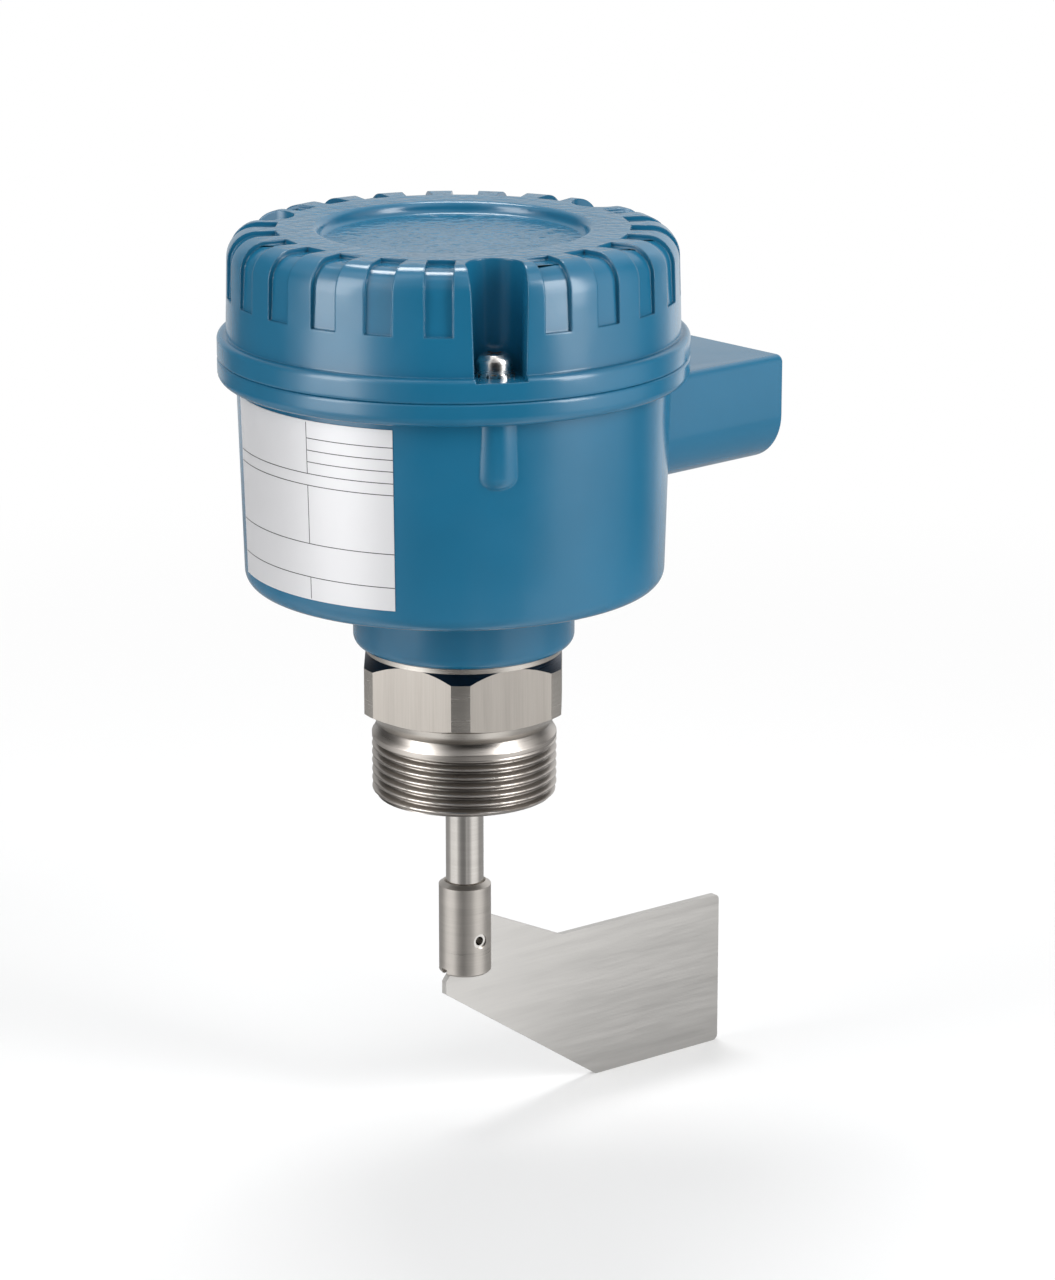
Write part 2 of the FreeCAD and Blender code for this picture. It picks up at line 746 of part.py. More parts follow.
def rating_label():
    """Blank foil plate that follows the wall's taper on the front left."""
    body = new_body("rating_label", HOUSING_X, turn="label_start")
    sketch = new_sketch(body)
    slope = f"((base_wall_radius - base_foot_radius) / ({FLANGE_BOTTOM} - {BASE_BOTTOM} - base_round))"
    high = f"({FLANGE_BOTTOM} - label_top_gap)"
    low = f"({high} - label_height)"
    wall_high = f"(base_wall_radius - {slope} * label_top_gap + label_gap)"
    wall_low = f"(base_wall_radius - {slope} * (label_top_gap + label_height) + label_gap)"
    outline(
        sketch,
        (wall_low, low),
        (f"{wall_low} + label_thickness", low),
        (f"{wall_high} + label_thickness", high),
        (wall_high, high),
    )
    turned(body, sketch, angle="label_arc")
    return body


# Lid and its screws

def lid():
    """Cast lid: recessed top, rounded shoulder with notches, flange and three screw slots."""
    body = new_body("lid", HOUSING_X)
    sketch = new_sketch(body)
    floor = f"({LID_TOP} - recess_depth)"
    half_width = "((recess_radius - recess_floor_radius) / 2)"
    swell = f"(({half_width}^2 + (recess_depth / 2)^2) / recess_depth)"
    middle = f"recess_floor_radius + {half_width}"
    flat = "lid_shoulder_radius - lid_round"
    flange_top = f"({SEAM} + lid_flange_height)"
    rim = "flange_radius"
    outline(
        sketch,
        ("0", floor),
        ("recess_floor_radius", floor),
        (middle, f"{floor} + recess_depth / 2", "recess_floor_radius", f"{floor} + {swell}", "left"),
        ("recess_radius", LID_TOP, "recess_radius", f"{LID_TOP} - {swell}", "right"),
        (flat, LID_TOP),
        ("lid_shoulder_radius", f"{LID_TOP} - lid_round", flat, f"{LID_TOP} - lid_round", "right"),
        ("lid_skirt_radius", flange_top),
        (f"{rim} - lid_flange_round", flange_top),
        (rim, f"{flange_top} - lid_flange_round",
         f"{rim} - lid_flange_round", f"{flange_top} - lid_flange_round", "right"),
        (rim, f"{SEAM} + seam_round"),
        (f"{rim} - seam_round", SEAM, f"{rim} - seam_round", f"{SEAM} + seam_round", "right"),
        ("0", SEAM),
    )
    turned(body, sketch)

    inside = new_sketch(body, "XY_Plane", SEAM)
    lobed_outline(inside, "lid_cavity_radius", "ear_radius")
    pocket(body, inside, f"{LID_CEILING} - {SEAM}", forward=True)

    notch = new_sketch(body)
    deep = "notch_depth"
    shoulder = f"lid_shoulder_radius - {deep}"
    skirt = f"lid_skirt_radius - {deep}"
    outline(
        notch,
        (flat, f"{LID_TOP} + 1"),
        (flat, f"{LID_TOP} - {deep}"),
        (shoulder, f"{LID_TOP} - lid_round", flat, f"{LID_TOP} - lid_round", "right"),
        (skirt, f"{SEAM} + notch_bottom"),
        ("flange_radius + 1", f"{SEAM} + notch_bottom"),
        ("flange_radius + 1", f"{LID_TOP} + 1"),
    )
    ring_of(body, pocket(body, notch, "notch_width", middle=True), "notch_count")

    slot = new_sketch(body, "XY_Plane", f"{SEAM} + slot_floor")
    outline(
        slot,
        ("screw_circle", "slot_radius"),
        ("screw_circle", "0 - slot_radius", "screw_circle", "0", "left"),
        ("flange_radius + 3", "0 - slot_radius"),
        ("flange_radius + 3", "slot_radius"),
    )
    drafted = pocket(body, slot, f"{LID_TOP} + 1 - {SEAM} - slot_floor", forward=True)
    drafted.setExpression("TaperAngle", bound("slot_draft"))
    ring_of(body, drafted, 3)
    hole = new_sketch(body, "XY_Plane", f"{SEAM} + slot_floor + 1")
    circle(hole, "screw_circle", "0", "lid_hole_radius")
    ring_of(body, pocket(body, hole, "slot_floor + 3"), 3)
    return body


def lid_fasteners():
    """Three pan head screws, each with a spring washer on an external tooth washer."""
    screws = []
    springs = []
    teeth = []
    seat = f"({SEAM} + slot_floor)"
    tooth_top = f"({seat} + tooth_washer_thickness)"
    under_head = f"({tooth_top} + spring_washer_thickness)"
    for index in range(3):
        x = f"{HOUSING_X} + screw_circle * cos({120 * index})"
        y = f"screw_circle * sin({120 * index})"
        screw = new_body(f"lid_screw_{index + 1}", x, y)
        sketch = new_sketch(screw)
        outline(
            sketch,
            ("0", f"{SEAM} - screw_depth"),
            ("screw_radius - 0.6", f"{SEAM} - screw_depth"),
            ("screw_radius", f"{SEAM} - screw_depth + 0.6"),
            ("screw_radius", under_head),
            ("screw_head_radius", under_head),
            ("screw_head_radius", f"{under_head} + screw_head_height * 0.45"),
            ("screw_head_radius - 1.8", f"{under_head} + screw_head_height",
             "screw_head_radius - 2.4", f"{under_head} + screw_head_height * 0.45 - 0.1", "left"),
            ("0", f"{under_head} + screw_head_height"),
        )
        turned(screw, sketch)
        cross = new_sketch(screw, "XY_Plane", f"{under_head} + screw_head_height")
        bar = "screw_head_radius * 0.55"
        outline(cross, *cross_points(bar, "0.55"))
        pocket(screw, cross, "screw_head_height * 0.5")
        screws.append(screw)
        springs.append(tube(f"spring_washer_{index + 1}", "screw_radius + 0.1", "spring_washer_radius",
                            tooth_top, under_head, x, y))
        washer = tube(f"tooth_washer_{index + 1}", "screw_radius + 0.1", "tooth_washer_radius", seat, tooth_top, x, y)
        gap = new_sketch(washer, "XY_Plane", tooth_top)
        rectangle(gap, "tooth_washer_radius - 0.9", "0 - 0.45", "tooth_washer_radius + 1", "0.45")
        ring_of(washer, pocket(washer, gap, "tooth_washer_thickness"), 12)
        teeth.append(washer)
    return [group("lid_screws", screws), group("spring_washers", springs), group("tooth_washers", teeth)]


def cross_points(bar, arm):
    """Corners of an upright cross: bar is its half length and arm its half width."""
    quarter = [(bar, f"0 - {arm}"), (bar, arm), (arm, arm)]
    points = []
    for angle in (0, 90, 180, 270):
        points += [turned_copy(x, y, angle) for x, y in quarter]
    return points


# Shaft and paddle

def rotor():
    """Shaft, sleeve, pin, blade, coupling and the motor's output shaft: all turn together."""
    shaft = new_body("drive_shaft")
    sketch = new_sketch(shaft)
    shaft_top = f"{HUB_TOP} + coupling_gap + coupling_height / 2 - 0.3"
    outline(
        sketch,
        ("0", "0 - shaft_reach"),
        ("shaft_radius - 0.5", "0 - shaft_reach"),
        ("shaft_radius", "0.5 - shaft_reach"),
        ("shaft_radius", f"{shaft_top} - 0.5"),
        ("shaft_radius - 0.5", shaft_top),
        ("0", shaft_top),
    )
    turned(shaft, sketch)

    sleeve = new_body("paddle_sleeve", turn="paddle_turn")
    low = "(0 - sleeve_top - sleeve_length)"
    sketch = new_sketch(sleeve)
    outline(
        sketch,
        ("0", low),
        ("sleeve_radius - 0.5", low),
        ("sleeve_radius", f"{low} + 0.5"),
        ("sleeve_radius", "0 - sleeve_top - sleeve_chamfer"),
        ("shaft_radius + 0.5", "0 - sleeve_top"),
        ("shaft_radius + 0.02", "0 - sleeve_top - 0.5"),
        ("shaft_radius + 0.02", "0 - shaft_reach"),
        ("0", "0 - shaft_reach"),
    )
    turned(sleeve, sketch)
    slit = new_sketch(sleeve)
    rectangle(slit, "blade_root - sleeve_radius - blade_gap", f"{low} - 2",
              "sleeve_radius + 2", "0 - blade_top + blade_gap")
    pocket(sleeve, slit, "blade_thickness + 2 * blade_gap", middle=True)
    heel = new_sketch(sleeve)
    rectangle(heel, "0 - sleeve_radius - 2", f"{low} - 2", "blade_root - sleeve_radius", f"{low} + heel_notch")
    pocket(sleeve, heel, "blade_thickness + 2 * blade_gap", middle=True)
    hole = new_sketch(sleeve)
    circle(hole, "0", "0 - pin_drop", "pin_radius + 0.02")
    pocket(sleeve, hole, "4 * sleeve_radius", middle=True)

    pin = new_body("spring_pin", turn="paddle_turn")
    sketch = new_sketch(pin)
    circle(sketch, "0", "0 - pin_drop", "pin_radius")
    circle(sketch, "0", "0 - pin_drop", "pin_bore")
    pad(pin, sketch, "2 * sleeve_radius - 1.2", middle=True)

    blade = new_body("paddle_blade", turn="paddle_turn")
    sketch = new_sketch(blade)
    lower_edge = "(0 - blade_upper_edge - blade_foot_height)"
    corner = "blade_round"
    outline(
        sketch,
        ("0 - blade_inner", "0 - blade_heel"),
        ("blade_toe", lower_edge),
        (f"blade_reach - {corner}", lower_edge),
        ("blade_reach", f"{lower_edge} + {corner}", f"blade_reach - {corner}", f"{lower_edge} + {corner}", "left"),
        ("blade_reach", f"0 - blade_upper_edge - {corner}"),
        (f"blade_reach - {corner}", "0 - blade_upper_edge",
         f"blade_reach - {corner}", f"0 - blade_upper_edge - {corner}", "left"),
        ("blade_elbow", "0 - blade_upper_edge"),
        ("blade_shoulder", "0 - blade_shoulder_drop"),
        ("sleeve_radius", "0 - blade_top"),
        ("blade_root - sleeve_radius", "0 - blade_top"),
        ("blade_root - sleeve_radius", "0.6 - sleeve_top - sleeve_length"),
        ("0 - blade_inner", "blade_heel_height - blade_heel"),
    )
    pad(blade, sketch, "blade_thickness", middle=True)
    hole = new_sketch(blade)
    circle(hole, "0", "0 - pin_drop", "pin_radius + 0.02")
    pocket(blade, hole, "4 * blade_thickness", middle=True)

    coupling = new_body("coupling")
    low = f"({HUB_TOP} + coupling_gap)"
    sketch = new_sketch(coupling)
    split = f"{low} + coupling_height / 2"
    outline(
        sketch,
        ("shaft_radius + 0.02", low),
        ("coupling_radius - 0.5", low),
        ("coupling_radius", f"{low} + 0.5"),
        ("coupling_radius", f"{low} + coupling_height - 0.5"),
        ("coupling_radius - 0.5", f"{low} + coupling_height"),
        ("motor_shaft_radius + 0.02", f"{low} + coupling_height"),
        ("motor_shaft_radius + 0.02", split),
        ("shaft_radius + 0.02", split),
    )
    turned(coupling, sketch)
    hole = new_sketch(coupling, "YZ_Plane")
    for level in (f"{low} + 2.4", f"{low} + coupling_height - 2.4"):
        circle(hole, "0", level, "1.25")
    pocket(coupling, hole, forward=True)
    grubs = []
    for index, (level, seat) in enumerate(((f"{low} + 2.4", "shaft_radius"),
                                           (f"{low} + coupling_height - 2.4", "motor_shaft_radius"))):
        grub = new_body(f"grub_screw_{index + 1}")
        sketch = new_sketch(grub, "YZ_Plane", f"{seat} + 0.02")
        circle(sketch, "0", level, "1.2")
        pad(grub, sketch, f"coupling_radius - {seat} - 0.4")
        grubs.append(grub)

    output = new_body("motor_shaft")
    sketch = new_sketch(output)
    rectangle(sketch, "0", split, "motor_shaft_radius", f"{YOKE_TOP} + gear_height / 2")
    turned(output, sketch)
    return [shaft, sleeve, pin, blade, coupling, group("grub_screws", grubs), output]


# Swinging motor carriage

def swing_yoke():
    """Bent sheet yoke: base ring on the hub, two legs and the motor plate over the coupling."""
    body = new_body("swing_yoke")
    base = new_sketch(body, "XY_Plane", YOKE_BOTTOM)
    circle(base, "0", "0", "yoke_radius")
    circle(base, "0", "0", "hub_radius + 0.06")
    pad(body, base, "yoke_sheet")
    wings = new_sketch(body, "XY_Plane", YOKE_BOTTOM)
    for sign, other in (("0 - ", ""), ("", "0 - ")):
        low, high = ("0 - yoke_leg_out", "0 - hub_radius - 3") if sign else ("hub_radius + 3", "yoke_leg_out")
        rectangle(wings, "0 - yoke_leg_half", low, "yoke_leg_half", high)
    rectangle(wings, "0 - tongue_reach", "0 - tongue_low", "0 - hub_radius - 2", "tongue_high")
    pad(body, wings, "yoke_sheet")
    legs = new_sketch(body, "XY_Plane", YOKE_BOTTOM)
    rectangle(legs, "0 - yoke_leg_half", "0 - yoke_leg_out", "yoke_leg_half", "yoke_sheet - yoke_leg_out")
    rectangle(legs, "0 - yoke_leg_half", "yoke_leg_out - yoke_sheet", "yoke_leg_half", "yoke_leg_out")
    pad(body, legs, "yoke_height")
    roof = new_sketch(body, "XY_Plane", f"{YOKE_TOP} - yoke_sheet")
    rectangle(roof, "0 - yoke_top_half", "0 - yoke_leg_out", "yoke_top_half", "yoke_leg_out")
    pad(body, roof, "yoke_sheet")
    holes = new_sketch(body, "XY_Plane", YOKE_TOP)
    circle(holes, "0", "0", "motor_shaft_radius + 2")
    pocket(body, holes, "yoke_sheet + 1")
    for sign in ("0 - ", ""):
        hole = new_sketch(body, "XY_Plane", YOKE_TOP)
        circle(hole, "0", f"{sign}lug_reach", "1.5")
        pocket(body, hole, "yoke_sheet + 1")
    for x, y, radius in (("0 - trip_radius", "0", "trip_pin_radius"), ("0 - stud_x", "stud_y", "stud_radius")):
        hole = new_sketch(body, "XY_Plane", YOKE_FLOOR)
        circle(hole, x, y, f"{radius} + 0.01")
        pocket(body, hole, "yoke_sheet + 1")
    return body


def motor():
    """Gear motor on the yoke: gearbox with two lugs, pressed can, trip pin and spring stud."""
    gear = new_body("gearbox")
    sketch = new_sketch(gear, "XY_Plane", YOKE_TOP)
    circle(sketch, "0", "0", "gear_radius")
    pad(gear, sketch, "gear_height")
    lug = new_sketch(gear, "XY_Plane", YOKE_TOP)
    outline(
        lug,
        ("0 - lug_radius", "0 - lug_reach"),
        ("lug_radius", "0 - lug_reach", "0", "0 - lug_reach", "left"),
        ("lug_radius", "lug_reach"),
        ("0 - lug_radius", "lug_reach", "0", "lug_reach", "left"),
    )
    pad(gear, lug, "lug_height")
    holes = new_sketch(gear, "XY_Plane", YOKE_TOP)
    circle(holes, "0", "0", "motor_shaft_radius + 0.06")
    pocket(gear, holes, "gear_height - 2", forward=True)
    for sign in ("0 - ", ""):
        hole = new_sketch(gear, "XY_Plane", YOKE_TOP)
        circle(hole, "0", f"{sign}lug_reach", "1.5")
        pocket(gear, hole, "lug_height + 0.01", forward=True)

    can = new_body("motor_can")
    sketch = new_sketch(can)
    high = CAN_TOP
    outline(
        sketch,
        ("0", GEAR_TOP),
        ("can_radius + 0.6", GEAR_TOP),
        ("can_radius + 0.6", f"{GEAR_TOP} + 1"),
        ("can_radius", f"{GEAR_TOP} + 1"),
        ("can_radius", f"{high} - can_round"),
        ("can_radius - can_round", high, "can_radius - can_round", f"{high} - can_round", "left"),
        ("can_cap_radius", high),
        ("can_cap_radius - 0.6", f"{high} + can_cap_height"),
        ("0", f"{high} + can_cap_height"),
    )
    turned(can, sketch)

    screws = []
    for index, sign in enumerate(("0 - ", "")):
        screws.append(small_screw(f"motor_screw_{index + 1}", "0", f"{sign}lug_reach",
                                  f"{YOKE_TOP} + lug_height", "lug_height + yoke_sheet + 0.5", "1.45", "2.6"))
    pin = new_body("trip_pin", "0 - trip_radius")
    sketch = new_sketch(pin)
    rectangle(sketch, "0", YOKE_BOTTOM, "trip_pin_radius", f"{YOKE_FLOOR} + trip_pin_height")
    turned(pin, sketch)
    stud = new_body("spring_stud", "0 - stud_x", "stud_y")
    sketch = new_sketch(stud)
    high = f"({YOKE_FLOOR} + stud_height)"
    outline(
        sketch,
        ("0", YOKE_BOTTOM),
        ("stud_radius", YOKE_BOTTOM),
        ("stud_radius", f"{high} - 2.6"),
        ("stud_radius - 0.4", f"{high} - 2.2"),
        ("stud_radius - 0.4", f"{high} - 1.0"),
        ("stud_radius", f"{high} - 0.6"),
        ("stud_radius", high),
        ("0", high),
    )
    turned(stud, sketch)
    return [gear, can, group("motor_screws", screws), pin, stud]


def small_screw(label, x, y, seat, reach, radius, head):
    """A cheese head screw with a cross recess, its head resting on the seat level."""
    body = new_body(label, x, y)
    sketch = new_sketch(body)
    outline(
        sketch,
        ("0", f"{seat} - ({reach})"),
        (radius, f"{seat} - ({reach})"),
        (radius, seat),
        (head, seat),
        (head, f"{seat} + {head} * 0.55"),
        (f"{head} * 0.75", f"{seat} + {head} * 0.75"),
        ("0", f"{seat} + {head} * 0.75"),
    )
    turned(body, sketch)
    cross = new_sketch(body, "XY_Plane", f"{seat} + {head} * 0.75")
    outline(cross, *cross_points(f"{head} * 0.55", f"{head} * 0.13"))
    pocket(body, cross, f"{head} * 0.4")
    return body


# Switches

def switches():
    """Bracket with two stacked microswitches, and the levers that the trip pin works."""
    bracket = new_body("switch_bracket")
    near = "0 - switch_x"
    far = "0 - switch_x - switch_length"
    wall = "0 - bracket_wall_y"
    sketch = new_sketch(bracket, "YZ_Plane", far)
    outline(
        sketch,
        (f"{wall} - bracket_sheet - bracket_foot", FLOOR),
        (wall, FLOOR),
        (wall, SHELF_BOTTOM),
        ("0 - switch_face", SHELF_BOTTOM),
        ("0 - switch_face", SHELF_TOP),
        (f"{wall} - bracket_sheet", SHELF_TOP),
        (f"{wall} - bracket_sheet", f"{FLOOR} + bracket_sheet"),
        (f"{wall} - bracket_sheet - bracket_foot", f"{FLOOR} + bracket_sheet"),
    )
    pad(bracket, sketch, "switch_length")
    foot_y = f"{wall} - bracket_sheet - bracket_foot / 2"
    foot_x = (f"{near} - foot_hole_near", f"{far} + foot_hole_far")
    for x in foot_x:
        hole = new_sketch(bracket, "XY_Plane", f"{FLOOR} + 2 * bracket_sheet")
        circle(hole, x, foot_y, "foot_screw_radius + foot_screw_play")
        pocket(bracket, hole, "2 * bracket_sheet")
    screw_y = "0 - switch_face - switch_depth + switch_hole_back"
    screw_x = (f"{near} - switch_hole_end", f"{far} + switch_hole_end")
    for x in screw_x:
        hole = new_sketch(bracket, "XY_Plane", f"{SHELF_TOP} + 1")
        circle(hole, x, screw_y, "switch_screw_radius + switch_screw_play")
        pocket(bracket, hole, "bracket_sheet + 2")
    foot_screws = [small_screw(f"bracket_screw_{i + 1}", x, foot_y, f"({FLOOR} + bracket_sheet)",
                               "bracket_sheet - 0.02", "foot_screw_radius", "foot_screw_head")
                   for i, x in enumerate(foot_x)]
    parts = [bracket, group("bracket_screws", foot_screws)]

    stack_top = f"({SHELF_TOP} + 2 * switch_thickness)"
    for index, (name, angle) in enumerate((("signal", "signal_lever_angle"), ("stop", "stop_lever_angle"))):
        low = f"({SHELF_TOP} + {index} * switch_thickness)"
        parts.append(switch_body(f"{name}_switch", low, screw_x, screw_y))
        parts.append(switch_lever(f"{name}_lever", low, angle))
    long_screws = [small_screw(f"switch_screw_{i + 1}", x, screw_y, stack_top,
                               "2 * switch_thickness + bracket_sheet", "switch_screw_radius", "switch_screw_head")
                   for i, x in enumerate(screw_x)]
    parts.append(group("switch_screws", long_screws))
    return parts


def switch_body(label, low, screw_x, screw_y):
    body = new_body(label)
    face = "0 - switch_face"
    back = "0 - switch_face - switch_depth"
    sketch = new_sketch(body, "XY_Plane", low)
    rectangle(sketch, "0 - switch_x - switch_length", back, "0 - switch_x", face)
    pad(body, sketch, "switch_thickness")
    for x in screw_x:
        hole = new_sketch(body, "XY_Plane", f"{low} + switch_thickness + 1")
        circle(hole, x, screw_y, "switch_screw_radius + switch_screw_play")
        pocket(body, hole, "switch_thickness + 2")
    lug = "(switch_thickness - lever_height) / 2 - 0.2"
    for level in (low, f"{low} + switch_thickness - ({lug})"):
        ear = new_sketch(body, "XY_Plane", level)
        rectangle(ear, "0 - lever_pivot_x - 0.9", face, "0.9 - lever_pivot_x", "0.9 - lever_pivot_y")
        pad(body, ear, lug)
    post = new_sketch(body, "XY_Plane", low)
    circle(post, "0 - lever_pivot_x", "0 - lever_pivot_y", "lever_bore - 0.05")
    pad(body, post, "switch_thickness")
    tabs = new_sketch(body, "XZ_Plane", f"switch_face + switch_depth")
    for index in range(3):
        x = f"0 - switch_x - switch_tab_end - {index} * (switch_length - 2 * switch_tab_end) / 2"
        middle = f"{low} + switch_thickness / 2"
        rectangle(tabs, f"{x} - switch_tab_width / 2", f"{middle} - switch_tab_sheet / 2",
                  f"{x} + switch_tab_width / 2", f"{middle} + switch_tab_sheet / 2")
    pad(body, tabs, "switch_tab_length")
    return body


def switch_lever(label, low, angle):
    """Spring steel strip with an eye on the switch's hinge post, modelled at its free angle."""
    body = new_body(label)
    half_sheet = "lever_sheet / 2"
    level = f"{low} + (switch_thickness - lever_height) / 2"
    sketch = new_sketch(body, "XY_Plane", level)
    corners = []
    for along, across in (("lever_eye * 0.7", f"0 - {half_sheet}"), ("lever_length", f"0 - {half_sheet}"),
                          ("lever_length", half_sheet), ("lever_eye * 0.7", half_sheet)):
        x = f"0 - lever_pivot_x - ({along}) * cos({angle}) - ({across}) * sin({angle})"
        y = f"0 - lever_pivot_y + ({along}) * sin({angle}) - ({across}) * cos({angle})"
        corners.append((x, y))
    outline(sketch, *corners)
    pad(body, sketch, "lever_height")
    eye = new_sketch(body, "XY_Plane", level)
    circle(eye, "0 - lever_pivot_x", "0 - lever_pivot_y", "lever_eye")
    pad(body, eye, "lever_height")
    bore = new_sketch(body, "XY_Plane", level)
    circle(bore, "0 - lever_pivot_x", "0 - lever_pivot_y", "lever_bore")
    pocket(body, bore, "lever_height + 1", forward=True)
    return body


# Return spring

def return_spring():
    """Tension spring from the yoke's stud to a post on the housing floor."""
    post = new_body("spring_post", "0 - post_x", "post_y")
    sketch = new_sketch(post)
    hook_level = f"({YOKE_FLOOR} + stud_height - 1.6)"
    outline(
        sketch,
        ("0", FLOOR),
        ("post_radius + 1.5", FLOOR),
        ("post_radius + 1.5", f"{FLOOR} + 2"),
        ("post_radius", f"{FLOOR} + 2"),
        ("post_radius", f"{hook_level} - 1"),
        ("post_radius - 0.8", f"{hook_level} - 0.6"),
        ("post_radius - 0.8", f"{hook_level} + 0.6"),
        ("post_radius", f"{hook_level} + 1"),
        ("post_radius", f"{hook_level} + 2.6"),
        ("0", f"{hook_level} + 2.6"),
    )
    turned(post, sketch)

    start = V(-value("stud_x"), value("stud_y"), value(hook_level))
    end = V(-value("post_x"), value("post_y"), value(hook_level))
    along = end - start
    span = along.Length
    wire = value("spring_wire")
    near_eye = value("stud_radius") - 0.4 + wire + 0.15
    far_eye = value("post_radius") - 0.8 + wire + 0.15
    turns = int(value("spring_turns"))
    radius = value("spring_radius")
    coil_start = near_eye + radius
    coil_end = span - far_eye - radius
    pitch = (coil_end - coil_start) / turns
    solids = [Part.makeTorus(near_eye, wire), Part.makeTorus(far_eye, wire, V(span, 0, 0))]
    solids.append(Part.makeCylinder(wire, radius + 0.2, V(near_eye, 0, 0), V(1, 0, 0)))
    solids.append(Part.makeCylinder(wire, radius + 0.2, V(coil_end - 0.2, 0, 0), V(1, 0, 0)))
    profile = [V(coil_start, 0, 0)]
    for turn in range(turns):
        profile.append(V(coil_start + turn * pitch, radius - wire, 0))
        profile.append(V(coil_start + (turn + 0.5) * pitch, radius, 0))
    profile.append(V(coil_end, radius - wire, 0))
    profile.append(V(coil_end, 0, 0))
    profile.append(profile[0])
    coil = Part.Face(Part.makePolygon(profile)).revolve(V(), V(1, 0, 0), 360)
    spring = DOC.addObject("Part::Feature", "return_spring")
    spring.Label = "return_spring"
    spring.Shape = coil.multiFuse(solids)
    spring.Placement = FreeCAD.Placement(start, FreeCAD.Rotation(V(1, 0, 0), along))
    return [post, spring]


# Terminal board

def terminal_board():
    """Round board on three pillars, with cut-outs beside the lid's screw ears."""
    board = new_body("terminal_board", HOUSING_X)
    sketch = new_sketch(board, "XY_Plane", BOARD_BOTTOM)
    lobed_outline(sketch, "board_radius", "board_cutout")
    pad(board, sketch, "board_thickness")
    pillars = []
    screws = []
    for index, angle in enumerate((60, 180, 300)):
        x = f"pillar_circle * cos({angle})"
        y = f"pillar_circle * sin({angle})"
        hole = new_sketch(board, "XY_Plane", f"{BOARD_TOP} + 1")
        circle(hole, x, y, "board_screw_radius + 0.1")
        pocket(board, hole, "board_thickness + 2")
        pillar = new_body(f"board_pillar_{index + 1}", f"{HOUSING_X} + {x}", y)
        body_sketch = new_sketch(pillar, "XY_Plane", FLOOR)
        corners = [(f"pillar_radius * cos({a})", f"pillar_radius * sin({a})") for a in range(0, 360, 60)]
        outline(body_sketch, corners[0], *corners[1:])
        pad(pillar, body_sketch, f"{BOARD_BOTTOM} - {FLOOR}")
        tapped = new_sketch(pillar, "XY_Plane", BOARD_BOTTOM)
        circle(tapped, "0", "0", "board_screw_radius + 0.04")
        pocket(pillar, tapped, "8")
        pillars.append(pillar)
        screws.append(small_screw(f"board_screw_{index + 1}", f"{HOUSING_X} + {x}", y, BOARD_TOP,
                                  "board_thickness + 6", "board_screw_radius", "3.0"))
    return [board, group("board_pillars", pillars), group("board_screws", screws)]


def terminal_blocks():
    """Two rows of screw terminals by the cable side, with wire mouths and screws."""
    parts = []
    screws = []
    near = "(block_x + axis_offset)"
    for name, sign in (("left", "0 - "), ("right", "")):
        start = f"(0 - block_gap - block_length)" if sign else "block_gap"
        body = new_body(f"terminal_block_{name}", HOUSING_X)
        sketch = new_sketch(body, "XZ_Plane", f"0 - {start} - block_length")
        high = f"({BOARD_TOP} + block_height)"
        far = f"({near} + block_width)"
        outline(
            sketch,
            (near, BOARD_TOP),
            (far, BOARD_TOP),
            (far, f"{high} - 4"),
            (f"{far} - 3", high),
            (near, high),
        )
        pad(body, sketch, "block_length")
        mouths = new_sketch(body, "YZ_Plane", f"{far} + 1")
        wells = new_sketch(body, "XY_Plane", f"{high} + 1")
        for index in range(int(value("poles"))):
            y = f"{start} + (block_length - (poles - 1) * pole_pitch) / 2 + {index} * pole_pitch"
            rectangle(mouths, f"{y} - mouth_half", f"{BOARD_TOP} + mouth_low",
                      f"{y} + mouth_half", f"{BOARD_TOP} + mouth_high")
            circle(wells, f"{near} + block_width / 2 - 0.6", y, "well_radius")
            screw = small_screw(f"terminal_screw_{name}_{index + 1}", f"{HOUSING_X} + {near} + block_width / 2 - 0.6",
                                y, f"({high} - well_depth + 0.3)", "0.3", "1.2", "(well_radius - 0.1)")
            screws.append(screw)
        pocket(body, mouths, "mouth_depth + 1")
        pocket(body, wells, "well_depth + 1")
        parts.append(body)
    return parts + [group("terminal_screws", screws)]


def board_parts():
    """Relay and transformer blocks on the board, and the earth screw on the floor."""
    parts = []
    for label, name in (("relay", "relay"), ("transformer", "transformer"), ("capacitor_block", "capacitor")):
        body = new_body(label, HOUSING_X)
        sketch = new_sketch(body, "XY_Plane", BOARD_TOP)
        rectangle(sketch, f"{name}_x", f"{name}_y", f"{name}_x + {name}_width", f"{name}_y + {name}_length")
        pad(body, sketch, f"{name}_height")
        parts.append(body)
    clamp = new_body("earth_clamp", "earth_x")
    sketch = new_sketch(clamp, "XY_Plane", FLOOR)
    rectangle(sketch, "0 - earth_half", "0 - earth_half", "earth_half", "earth_half")
    circle(sketch, "0", "0", "earth_screw_radius + 0.1")
    pad(clamp, sketch, "earth_thickness")
    parts.append(clamp)
    parts.append(small_screw("earth_screw", "earth_x", "0", f"({FLOOR} + earth_thickness)",
                             "earth_thickness - 0.02", "earth_screw_radius", "earth_screw_radius * 1.8"))
    return parts


def build():
    parts = [process_connection()]
    parts += rings_and_bearings()
    parts += [base_housing(), lid_gasket(), rating_label(), lid()]
    parts += lid_fasteners()
    parts += rotor()
    parts.append(swing_yoke())
    parts += motor()
    parts += switches()
    parts += return_spring()
    parts += terminal_board()
    parts += terminal_blocks()
    parts += board_parts()
    return parts


